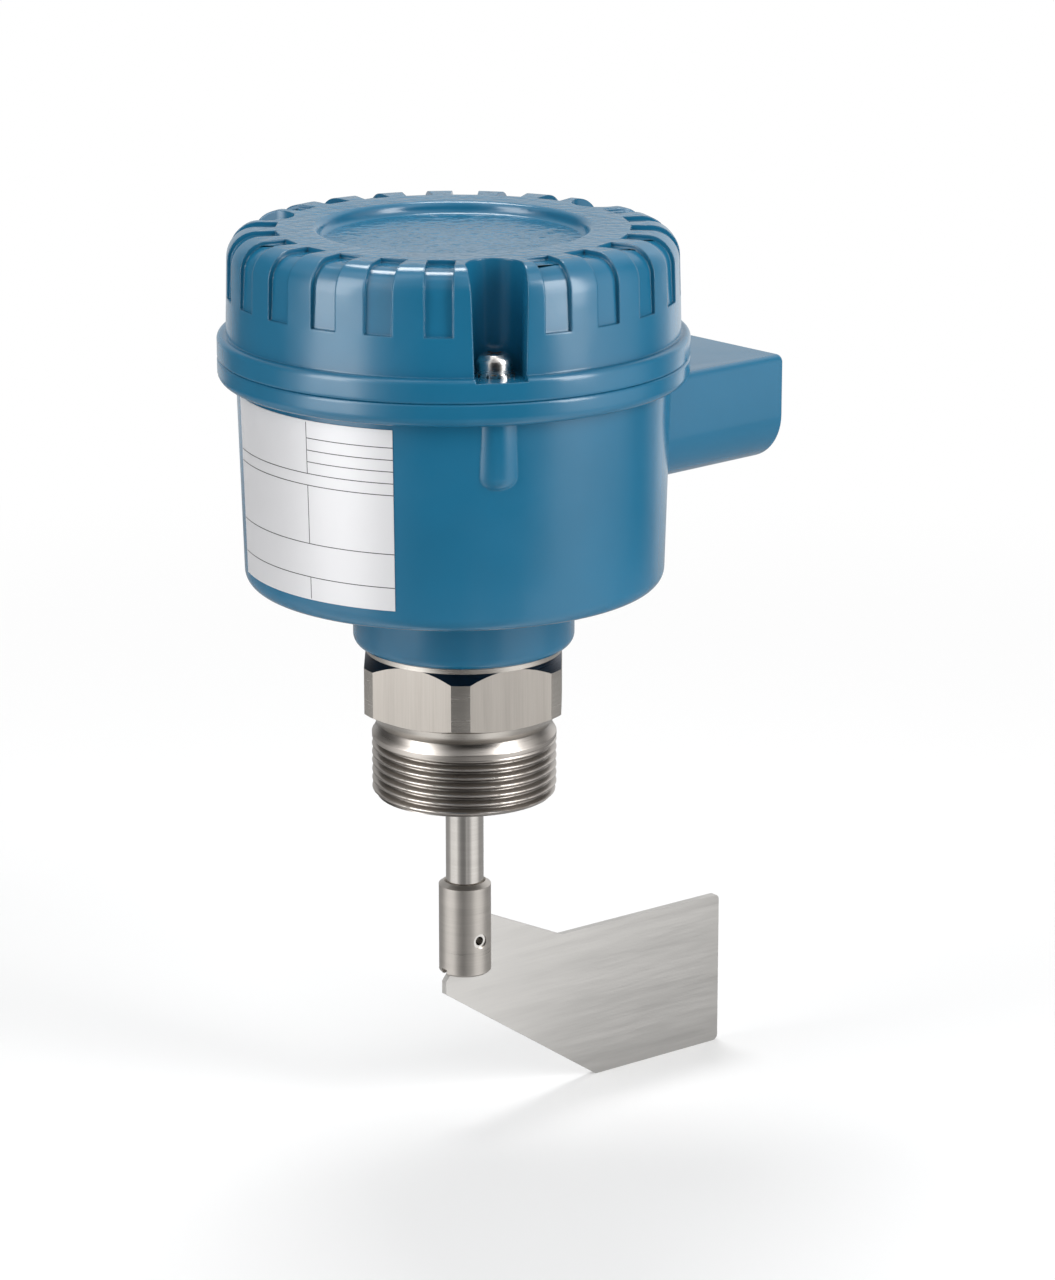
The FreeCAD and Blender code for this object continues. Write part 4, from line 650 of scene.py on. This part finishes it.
@dataclass
class Castings:
    """The lid and the base as the photograph shows them, cut from the CAD model's forms.

    The lid's notches run on into its flat top and end there in a step, and the base's screw
    columns show through its wall as low pads with a round lower end. Sizes are in millimetres.
    """

    notches: int = 24
    slots: int = 3
    notch_half: float = 3.5
    notch_inner: float = 44.4
    notch_outer: float = 51.5
    notch_floor: float = 130.1
    block_height: float = 4.0
    column_turns: tuple[float, float] = (120.0, 240.0)
    column_span: float = 12.0
    column_steps: int = 12
    wall_low: tuple[float, float] = (54.35, 70.0)
    wall_high: tuple[float, float] = (55.01, 92.99)
    beyond: float = 64.0
    pad_circle: float = 50.0
    pad_radius: float = 6.4
    pad_low: float = 75.0
    pad_round: float = 4.5
    pad_inner: float = 54.1
    pad_reach: tuple[float, float] = (60.0, 98.0)
    round_steps: int = 8
    pad_segments: int = 48
    wall_segments: int = 120
    middle: float = 0.01
    weld_mm: float = 0.0005
    smooth_deg: float = 28.0

    def copied(self, node: str, name: str) -> Piece:
        """Copies a CAD node's mesh and closes its seams; the node itself stays as it is.

        Args:
            node: The CAD node.
            name: The new piece's name.

        Returns:
            The copy, which stands for the node.
        """
        mesh = bmesh.new()
        mesh.from_mesh(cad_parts[node].data)
        bmesh.ops.remove_doubles(mesh, verts=mesh.verts, dist=self.weld_mm * MM)
        return new_piece(name, mesh, BLUE_COAT)

    def notch_blocks(self) -> Mesh:
        """Makes the blocks that carry each notch on into the flat top.

        Returns:
            One block per notch; a screw slot takes the place of every eighth.
        """
        mesh = bmesh.new()
        inner, outer = self.notch_inner, self.notch_outer
        for index in range(self.notches):
            if index % (self.notches // self.slots) == 0:
                continue
            turn = 2 * math.pi * index / self.notches
            out = Vector((math.cos(turn), math.sin(turn), 0))
            side = Vector((-math.sin(turn), math.cos(turn), 0))
            sides = ((inner, -1), (outer, -1), (outer, 1), (inner, 1))
            outline = [out * r + side * y * self.notch_half for r, y in sides]
            lower, upper = (
                [mesh.verts.new((corner + Vector((0, 0, z))) * MM + HOUSING_AXIS) for corner in outline]
                for z in (self.notch_floor, self.notch_floor + self.block_height)
            )
            close_bar(mesh, lower, upper)
        return mesh

    def wall_blocks(self) -> Mesh:
        """Makes wedges that follow the wall's outside where the screw columns stand.

        Returns:
            One wedge per column.
        """
        mesh = bmesh.new()
        (low_r, low_z), (high_r, high_z) = self.wall_low, self.wall_high
        section = ((low_r, low_z), (self.beyond, low_z), (self.beyond, high_z), (high_r, high_z))
        for column in self.column_turns:
            rings = []
            first = column - self.column_span
            for step in range(self.column_steps + 1):
                turn = math.radians(first + 2 * self.column_span * step / self.column_steps)
                rings.append([mesh.verts.new(point_at(r, turn, z) + HOUSING_AXIS) for r, z in section])
            for before, after in zip(rings, rings[1:]):
                for side in range(len(section)):
                    nxt = (side + 1) % len(section)
                    mesh.faces.new((before[side], before[nxt], after[nxt], after[side]))
            mesh.faces.new(rings[0][::-1])
            mesh.faces.new(rings[-1])
        return mesh

    def combine(self, piece: Piece, blocks: Mesh, operation: str) -> None:
        """Cuts a piece by blocks, or adds them to it.

        Args:
            piece: The piece that changes.
            blocks: The other mesh, freed here.
            operation: DIFFERENCE or UNION.
        """
        tool = new_piece("casting_tool", blocks, BLUE_COAT)
        boolean(piece, tool, operation)
        bpy.data.objects.remove(tool)
        settle(piece, self.smooth_deg)

    def pad(self, turn_deg: float) -> Mesh:
        """The part of a screw column that stands out of the wall, with its round lower end.

        Args:
            turn_deg: The column's angle round the housing.

        Returns:
            The pad's mesh, which reaches a little into the wall.
        """
        top = self.wall_high[1]
        profile = [(self.pad_radius, top)]
        for step in range(self.round_steps, -1, -1):
            lean = math.radians(90 * step / self.round_steps)
            height = self.pad_low + self.pad_round * (1 - math.cos(lean))
            profile.append((max(self.middle, self.pad_radius * math.sin(lean)), height))
        profile.append((self.middle, top))
        column = lathe(profile, self.pad_segments)
        place = point_at(self.pad_circle, math.radians(turn_deg), 0) + HOUSING_AXIS
        bmesh.ops.translate(column, verts=column.verts, vec=place)
        piece = new_piece("screw_pad", column, BLUE_COAT)
        low, high = self.pad_reach
        outline = [(self.middle, low), (self.pad_inner, low), (self.pad_inner, high), (self.middle, high)]
        within = lathe(outline, self.wall_segments)
        bmesh.ops.translate(within, verts=within.verts, vec=HOUSING_AXIS)
        self.combine(piece, within, "DIFFERENCE")
        made = bmesh.new()
        made.from_mesh(piece.data)
        bpy.data.objects.remove(piece)
        return made

    def build(self) -> None:
        """Makes both castings."""
        lid = self.copied("lid", "cast_lid")
        self.combine(lid, self.notch_blocks(), "DIFFERENCE")
        base = self.copied("base_housing", "cast_base")
        self.combine(base, self.wall_blocks(), "DIFFERENCE")
        for turn_deg in self.column_turns:
            self.combine(base, self.pad(turn_deg), "UNION")
        for piece, body, node in ((lid, Body.LID, "lid"), (base, Body.HOUSING, "base_housing")):
            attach(piece, body.value)
            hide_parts(node)
            LOG.info("%s: %d faces", piece.name, len(piece.data.polygons))


@dataclass
class ProcessConnection:
    """Turned stainless body: threaded end, relief, hexagon, collar, spigot and bearing hub."""

    thread_radius: float = 23.9
    thread_end: float = -17.6
    pitch: float = 2.309
    thread_depth: float = 1.479
    first_crest: float = -3.4
    lead: float = 1.5
    relief_radius: float = 22.4
    relief_top: float = 1.6
    corner_radius: float = 27.8
    flats: float = 50.4
    flats_turn: float = -13.3
    flats_foot: float = -5.0
    lower_corner: float = 6.5
    upper_corner: float = 18.7
    hex_top: float = 21.1
    skirt_radius: float = 24.8
    skirt_top: float = 5.2
    collar_radius: float = 25.4
    collar_top: float = 22.6
    collar_chamfer: float = 0.3
    overlap: float = 0.4
    spigot_radius: float = 19.95
    spigot_top: float = 53.0
    hub_radius: float = 16.5
    hub_top: float = 62.0
    bore: float = 13.02
    neck_bore: float = 9.0
    bore_steps: tuple[float, float] = (-2.6, 52.0)
    crest_half: float = 0.08
    flank_share: float = 0.37
    flank_straight: float = 0.65
    runout: tuple[float, float] = (1.3, 1.0)
    end_chamfer: float = 1.2
    shoulder_slope: float = 0.6
    segments: int = 240
    rows_per_pitch: int = 18
    broken_edge: float = 0.12

    def crest(self, turn: float, height: float) -> float:
        """Radius of the threaded surface, with its runout, its end chamfer and its shoulder.

        Args:
            turn: Angle in turns.
            height: Height in millimetres.

        Returns:
            The radius in millimetres.
        """
        phase = ((height - self.first_crest) / self.pitch + turn) % 1.0
        flank = min(1.0, max(0.0, (abs(phase - 0.5) - self.crest_half) / self.flank_share))
        rounded = 0.5 + 0.5 * math.cos(math.pi * flank)
        groove = self.flank_straight * (1 - flank) + (1 - self.flank_straight) * rounded
        start, length = self.runout
        cut = min(1.0, max(0.0, (self.first_crest + start - height) / length))
        radius = self.thread_radius - self.thread_depth * groove * cut
        tip = self.thread_radius - self.end_chamfer + (height - self.thread_end)
        shoulder = self.relief_radius + (self.lead - height) * self.shoulder_slope
        return min(radius, tip, shoulder)

    def thread(self) -> Piece:
        """Makes the threaded end with its helical groove, end face and bore.

        Returns:
            The piece pipe_thread.
        """
        mesh = bmesh.new()
        rows = int(-self.thread_end / self.pitch * self.rows_per_pitch)
        heights = [self.thread_end * row / rows for row in range(rows + 1)]
        rings = []
        for step in range(self.segments):
            turn = step / self.segments
            angle = 2 * math.pi * turn
            column = [(self.relief_radius, self.relief_top), (self.relief_radius, self.lead)]
            column += [(self.crest(turn, z), z) for z in heights]
            inner = (self.thread_end, self.bore_steps[0], self.relief_top)
            column += [(self.bore, z) for z in inner]
            rings.append([mesh.verts.new(point_at(r, angle, z)) for r, z in column])
        join_rings(mesh, rings)
        return new_piece("pipe_thread", mesh, THREAD_STEEL, smooth_deg=50)

    def six_sided_bar(self) -> Mesh:
        """Makes the bar that the flats are cut to.

        Returns:
            The bar, from below the hexagon to its top.
        """
        bar = bmesh.new()
        reach = self.flats / 2 / math.cos(math.radians(30))
        turns = [math.radians(self.flats_turn + 60 * corner) for corner in range(6)]
        lower, upper = (
            [bar.verts.new(point_at(reach, turn, level)) for turn in turns]
            for level in (self.flats_foot, self.hex_top)
        )
        close_bar(bar, lower, upper)
        return bar

    def hexagon(self) -> Piece:
        """Makes the turned body above the thread and mills its six flats.

        Returns:
            The piece hexagon_body.
        """
        low, high = self.bore_steps
        profile = [
            (self.relief_radius - 0.01, self.relief_top - self.overlap),
            (self.relief_radius, self.relief_top),
            (self.skirt_radius, self.skirt_top),
            (self.corner_radius, self.lower_corner),
            (self.corner_radius, self.upper_corner),
            (self.collar_radius, self.hex_top),
            (self.collar_radius, self.collar_top - self.collar_chamfer),
            (self.collar_radius - self.collar_chamfer, self.collar_top),
            (self.spigot_radius, self.collar_top),
            (self.spigot_radius, self.spigot_top),
            (self.hub_radius, self.spigot_top),
            (self.hub_radius, self.hub_top),
            (self.bore, self.hub_top),
            (self.bore, high),
            (self.neck_bore, high),
            (self.neck_bore, self.relief_top - self.overlap),
        ]
        piece = new_piece("hexagon_body", lathe(profile, self.segments), TURNED_STEEL)
        piece.data.materials.append(MILLED_STEEL.material())
        piece.data.materials.append(CHAMFER_PAINTED_SHADE_STEEL.material())
        foot, clear, height = self.hex_top - 0.001, 40, 80
        top = lathe([(clear, foot), (clear, height), (0.01, height), (0.01, foot)], 24)
        tool = new_piece("hexagon_tool", self.six_sided_bar(), MILLED_STEEL)
        above = new_piece("upper_tool", top, TURNED_STEEL)
        boolean(tool, above, "UNION")
        boolean(piece, tool, "INTERSECT")
        for shape in (above, tool):
            bpy.data.objects.remove(shape)
        # The upper chamfer's faces get the steel whose colour is painted dark, a painted reflection of the
        # shade under the housing
        for face in piece.data.polygons:
            on_chamfer = self.upper_corner * MM < face.center.z < self.hex_top * MM
            if on_chamfer and 0.2 < face.normal.z < 0.95:
                face.material_index = 2
        ease = piece.modifiers.new("broken_edges", "BEVEL")
        ease.width = self.broken_edge * MM
        ease.segments = 2
        ease.limit_method = "ANGLE"
        ease.angle_limit = math.radians(24)
        ease.harden_normals = True
        apply_modifiers(piece)
        return piece

    def build(self) -> None:
        """Makes both pieces, which stand for the turned CAD body."""
        for piece in (self.thread(), self.hexagon()):
            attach(piece, Body.HOUSING.value)
            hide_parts("process_connection")
        LOG.info("process connection: thread with %.3f mm pitch", self.pitch)


@dataclass
class ReturnSpring:
    """Tension spring from the swinging yoke's stud to the post on the floor."""

    stud: Vector = field(default_factory=lambda: Vector((-29.0, 7.8, 59.3)))
    post: Vector = field(default_factory=lambda: Vector((-22.3, 33.5, 59.3)))
    stud_radius: float = 0.8
    post_radius: float = 1.7
    coil_radius: float = 2.05
    wire: float = 0.35
    turns: int = 14
    turn_steps: int = 16
    eye_steps: int = 12
    eye_share: float = 0.92
    eye_start: float = 0.15

    def route(self) -> list[Vector]:
        """Draws an eye round the stud, the coil and an eye round the post.

        Returns:
            Points of the wire's middle, in millimetres.
        """
        along = (self.post - self.stud).normalized()
        upright = Vector((0, 0, 1))
        across = upright.cross(along)
        points = []
        near, far = self.stud_radius + self.wire + 0.1, self.post_radius + self.wire + 0.1
        eye = 2 * math.pi * self.eye_share
        for step in range(self.eye_steps + 1):
            turn = math.pi - eye * step / self.eye_steps
            points.append(self.stud + near * (math.cos(turn) * -along + math.sin(turn) * across))
        length = (self.post - self.stud).length
        start, end = near + self.coil_radius, length - far - self.coil_radius
        steps = self.turns * self.turn_steps
        for step in range(steps + 1):
            turn = 2 * math.pi * step / self.turn_steps
            middle = self.stud + along * (start + (end - start) * step / steps)
            points.append(middle + self.coil_radius * (math.sin(turn) * across + math.cos(turn) * upright))
        for step in range(self.eye_steps + 1):
            turn = self.eye_start + eye * step / self.eye_steps
            points.append(self.post + far * (math.cos(turn) * -along + math.sin(turn) * across))
        return points

    def build(self) -> None:
        """Sweeps the wire along its route between its two ends."""
        curve = bpy.data.curves.new("tension_spring", "CURVE")
        curve.dimensions = "3D"
        curve.bevel_depth = self.wire * MM
        curve.bevel_resolution = 3
        spline = curve.splines.new("POLY")
        points = self.route()
        spline.points.add(len(points) - 1)
        for drawn_point, point in zip(spline.points, points):
            drawn_point.co = (*(point * MM), 1.0)
        drawn = bpy.data.objects.new("tension_spring_curve", curve)
        bpy.context.scene.collection.objects.link(drawn)
        graph = bpy.context.evaluated_depsgraph_get()
        mesh = bpy.data.meshes.new_from_object(drawn.evaluated_get(graph))
        bpy.data.objects.remove(drawn)
        mesh.materials.clear()
        mesh.materials.append(SPRING_STEEL.material())
        piece = bpy.data.objects.new("tension_spring", mesh)
        bpy.context.scene.collection.objects.link(piece)
        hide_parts("return_spring")
        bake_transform(piece)
        LOG.info("return spring: %d turns", self.turns)


@dataclass
class Studio:
    """White sweep, soft lamps and the camera of the photograph."""

    floor_z: float = -106.35
    heading_deg: float = 42.3
    pitch_deg: float = 15.86
    camera: Vector = field(default_factory=lambda: Vector((-737.97, -835.36, 339.6)))
    lens: float = 126.56
    lamp_aim: Vector = field(default_factory=lambda: Vector((0, 0, 0.05)))
    fill: float = 0.5
    floor_glow: float = 0.2
    paper_fade: tuple[float, float] = (0.25, 0.7)
    table_edge: tuple[float, float] = (0.45, 0.62)
    rise_edge: tuple[float, float] = (0.64, 0.8)
    rise: float = 1.8
    sky_fade: tuple[float, float] = (0.45, 0.75)
    table_level: float = 1.25
    room_level: float = 2.6
    table_tones: Stops = (
        (-180, 0.36), (-130, 0.33), (-105, 0.42), (-88, 0.92), (-50, 1.0), (-36, 0.5), (-22, 0.26),
        (-8, 0.21), (4, 0.24), (12, 0.48), (22, 0.38), (32, 0.5), (46, 0.95), (58, 1.0), (76, 0.9),
        (88, 0.7), (98, 0.4), (130, 0.36), (180, 0.36),
    )
    room_tones: Stops = (
        (-180, 0.14), (-150, 0.14), (-132, 0.03), (-108, 0.03), (-92, 0.05), (-80, 0.25),
        (-68, 0.9), (-48, 1.0), (-38, 0.3), (-28, 0.08), (-14, 0.0), (34, 0.0), (46, 0.15),
        (56, 0.42), (68, 0.46), (80, 0.34), (96, 0.2), (108, 0.06), (116, 0.02), (130, 0.12),
        (142, 0.28), (180, 0.14),
    )
    softboxes: tuple[tuple[str, tuple[float, ...], tuple[float, float], float], ...] = (
        ("key_left", (-0.75, -0.43, 0.42), (0.35, 0.9), 4.0),
        ("fill_right", (0.8, -0.46, 0.4), (0.3, 0.9), 7.0),
        ("top_back", (-0.1, 0.5, 1.1), (0.5, 0.35), 6.5),
    )

    def shoot(self) -> None:
        """Puts the camera where the photograph's was."""
        data = bpy.data.cameras.new("camera")
        data.lens = self.lens
        data.sensor_width = 36.0
        data.clip_start, data.clip_end = 0.05, 60.0
        camera = bpy.data.objects.new("camera", data)
        camera.location = self.camera * MM
        camera.rotation_euler = (math.radians(90 - self.pitch_deg), 0, math.radians(-self.heading_deg))
        bpy.context.scene.collection.objects.link(camera)
        bpy.context.scene.camera = camera

    def tones(self, tree: Tree, angle: Socket, stops: Stops) -> Socket:
        """Brightness by the angle from the camera's side of the object.

        Args:
            tree: Tree of the floor's or the world's shader.
            angle: Angle in turns, from 0 behind on the left to 1 behind on the right.
            stops: Angle in degrees, positive to the right, with the brightness there.

        Returns:
            Brightness, where the brightest card is 1.
        """
        ramp = add_node(tree, "ShaderNodeValToRGB", {0: angle})
        places = ramp.color_ramp.elements
        while len(places) < len(stops):
            places.new(1.0)
        for place, (degrees, tone) in zip(places, stops):
            place.position = degrees / 360 + 0.5
            place.color = (tone, tone, tone, 1)
        return ramp.outputs[0]

    def surroundings(self, tree: Tree, heading: Socket, far: Socket | float) -> Socket:
        """Brightness of the studio that metal and paint mirror, by the heading from the object.

        Tall softboxes stand either side of the camera, the room behind the camera is dark, and
        flags behind the softboxes draw the edges of bright metal. Close to the object lies the lit
        table, which is evener.

        Args:
            tree: Tree of the floor's or the world's shader.
            heading: Vector away from the object.
            far: 0 on the table, 1 beyond it.

        Returns:
            Brightness, where 1 is white.
        """
        turned = {0: heading, "Angle": math.radians(90 + self.heading_deg)}
        axes = add_node(tree, "ShaderNodeVectorRotate", turned, rotation_type="Z_AXIS").outputs[0]
        parts = add_node(tree, "ShaderNodeSeparateXYZ", {0: axes})
        angle = calc(tree, "ARCTAN2", parts.outputs["Y"], parts.outputs["X"])
        turns = calc(tree, "MULTIPLY_ADD", angle, 0.5 / math.pi, 0.5)
        table = self.tones(tree, turns, self.table_tones)
        room = self.tones(tree, turns, self.room_tones)
        close, beyond = (
            add_node(tree, "ShaderNodeVectorMath", {0: tone, "Scale": level}, operation="SCALE").outputs[0]
            for tone, level in ((table, self.table_level), (room, self.room_level))
        )
        mix = {0: far, 4: close, 5: beyond}
        return add_node(tree, "ShaderNodeMix", mix, data_type="VECTOR").outputs[1]

    def by_ray(self, tree: Tree, light: Node, looked: Node, cards: Node) -> Socket:
        """Shows a surface one way to the camera, one way to reflections and one way to light.

        Args:
            tree: Tree of the floor's or the world's shader.
            light: What diffuse light meets.
            looked: What the camera sees.
            cards: What metal and paint mirror.

        Returns:
            The mixed shader.
        """
        path = add_node(tree, "ShaderNodeLightPath")
        direct = {0: path.outputs["Is Camera Ray"], 1: light.outputs[0], 2: looked.outputs[0]}
        seen = add_node(tree, "ShaderNodeMixShader", direct)
        mirror = calc(tree, "MAXIMUM", path.outputs["Is Glossy Ray"], path.outputs["Is Transmission Ray"])
        both = {0: mirror, 1: seen.outputs[0], 2: cards.outputs[0]}
        return add_node(tree, "ShaderNodeMixShader", both).outputs[0]

    def floor(self) -> None:
        """Lays a wide white floor that keeps the object's soft shadow."""
        mesh = bmesh.new()
        bmesh.ops.create_circle(mesh, cap_ends=True, radius=25.0, segments=96)
        # The finish is a stand-in until the paper is made
        sweep = new_piece("floor", mesh, RUBBER)
        sweep.location = (0, 0, self.floor_z * MM)
        white = bpy.data.materials.new("white_paper")
        white.use_nodes = True
        tree = white.node_tree
        tree.nodes.clear()
        paper = add_node(tree, "ShaderNodeBsdfDiffuse", {"Color": linear("#d8d8d8")})
        glow = add_node(tree, "ShaderNodeEmission", {"Color": (1, 1, 1, 1), "Strength": self.floor_glow})
        lit = add_node(tree, "ShaderNodeAddShader", {0: paper.outputs[0], 1: glow.outputs[0]})
        place = add_node(tree, "ShaderNodeNewGeometry").outputs["Position"]
        away = add_node(tree, "ShaderNodeVectorMath", {0: place}, operation="LENGTH").outputs["Value"]
        plain = add_node(tree, "ShaderNodeEmission", {"Color": (1, 1, 1, 1)})
        fade = mapped(tree, away, *self.paper_fade, interpolation_type="SMOOTHSTEP")
        faded = {0: fade, 1: lit.outputs[0], 2: plain.outputs[0]}
        backdrop = add_node(tree, "ShaderNodeMixShader", faded)
        beyond = mapped(tree, away, *self.table_edge)
        level = mapped(tree, away, *self.rise_edge, 1.0, self.rise)
        mirrored = {"Color": self.surroundings(tree, place, beyond), "Strength": level}
        cards = add_node(tree, "ShaderNodeEmission", mirrored)
        shown = self.by_ray(tree, paper, backdrop, cards)
        add_node(tree, "ShaderNodeOutputMaterial", {"Surface": shown})
        sweep.data.materials[0] = white

    def lamp(self, name: str, place: Vector, size: tuple[float, float], watts: float) -> None:
        """Hangs a softbox that faces the object and is not seen itself.

        Args:
            name: The lamp's name.
            place: Its middle, in metres.
            size: Its width and height, in metres.
            watts: Its power.
        """
        data = bpy.data.lights.new(name, "AREA")
        data.shape = "RECTANGLE"
        data.size, data.size_y = size
        data.energy = watts
        lamp = bpy.data.objects.new(name, data)
        lamp.location = place
        aim = self.lamp_aim - place
        lamp.rotation_euler = aim.to_track_quat("-Z", "Y").to_euler()
        lamp.visible_camera = False
        bpy.context.scene.collection.objects.link(lamp)

    def world(self) -> None:
        """Pale surroundings, white where they are looked at."""
        sky = bpy.data.worlds.new("studio")
        bpy.context.scene.world = sky
        sky.use_nodes = True
        tree = sky.node_tree
        tree.nodes.clear()
        fill = add_node(tree, "ShaderNodeBackground", {"Color": (1, 1, 1, 1), "Strength": self.fill})
        plain = add_node(tree, "ShaderNodeBackground", {"Color": (1, 1, 1, 1), "Strength": 1.0})
        place = add_node(tree, "ShaderNodeTexCoord").outputs["Generated"]
        rise = add_node(tree, "ShaderNodeSeparateXYZ", {0: place}).outputs["Z"]
        low = mapped(tree, rise, *self.sky_fade, 1.0, 0.0)
        mirrored_tones = self.surroundings(tree, place, low)
        cards = add_node(tree, "ShaderNodeBackground", {"Color": mirrored_tones, "Strength": self.rise})
        shown = self.by_ray(tree, fill, plain, cards)
        add_node(tree, "ShaderNodeOutputWorld", {"Surface": shown})

    def build(self) -> None:
        """Sets up the whole studio round the object."""
        bpy.context.scene.view_settings.view_transform = "Standard"
        self.shoot()
        self.floor()
        self.world()
        turn = Matrix.Rotation(math.radians(-self.heading_deg), 4, "Z")
        for name, place, size, watts in self.softboxes:
            self.lamp(name, turn @ Vector(place), size, watts)
        LOG.info("studio ready, floor at %.1f mm", self.floor_z)


def main() -> None:
    """Builds the studio and every piece in order."""
    logging.basicConfig(level=logging.INFO, format="%(name)s: %(message)s")
    Studio().build()
    dress_nodes()
    for assembly in (Castings(), ProcessConnection(), ReturnSpring()):
        assembly.build()


if __name__ == "__main__":
    main()
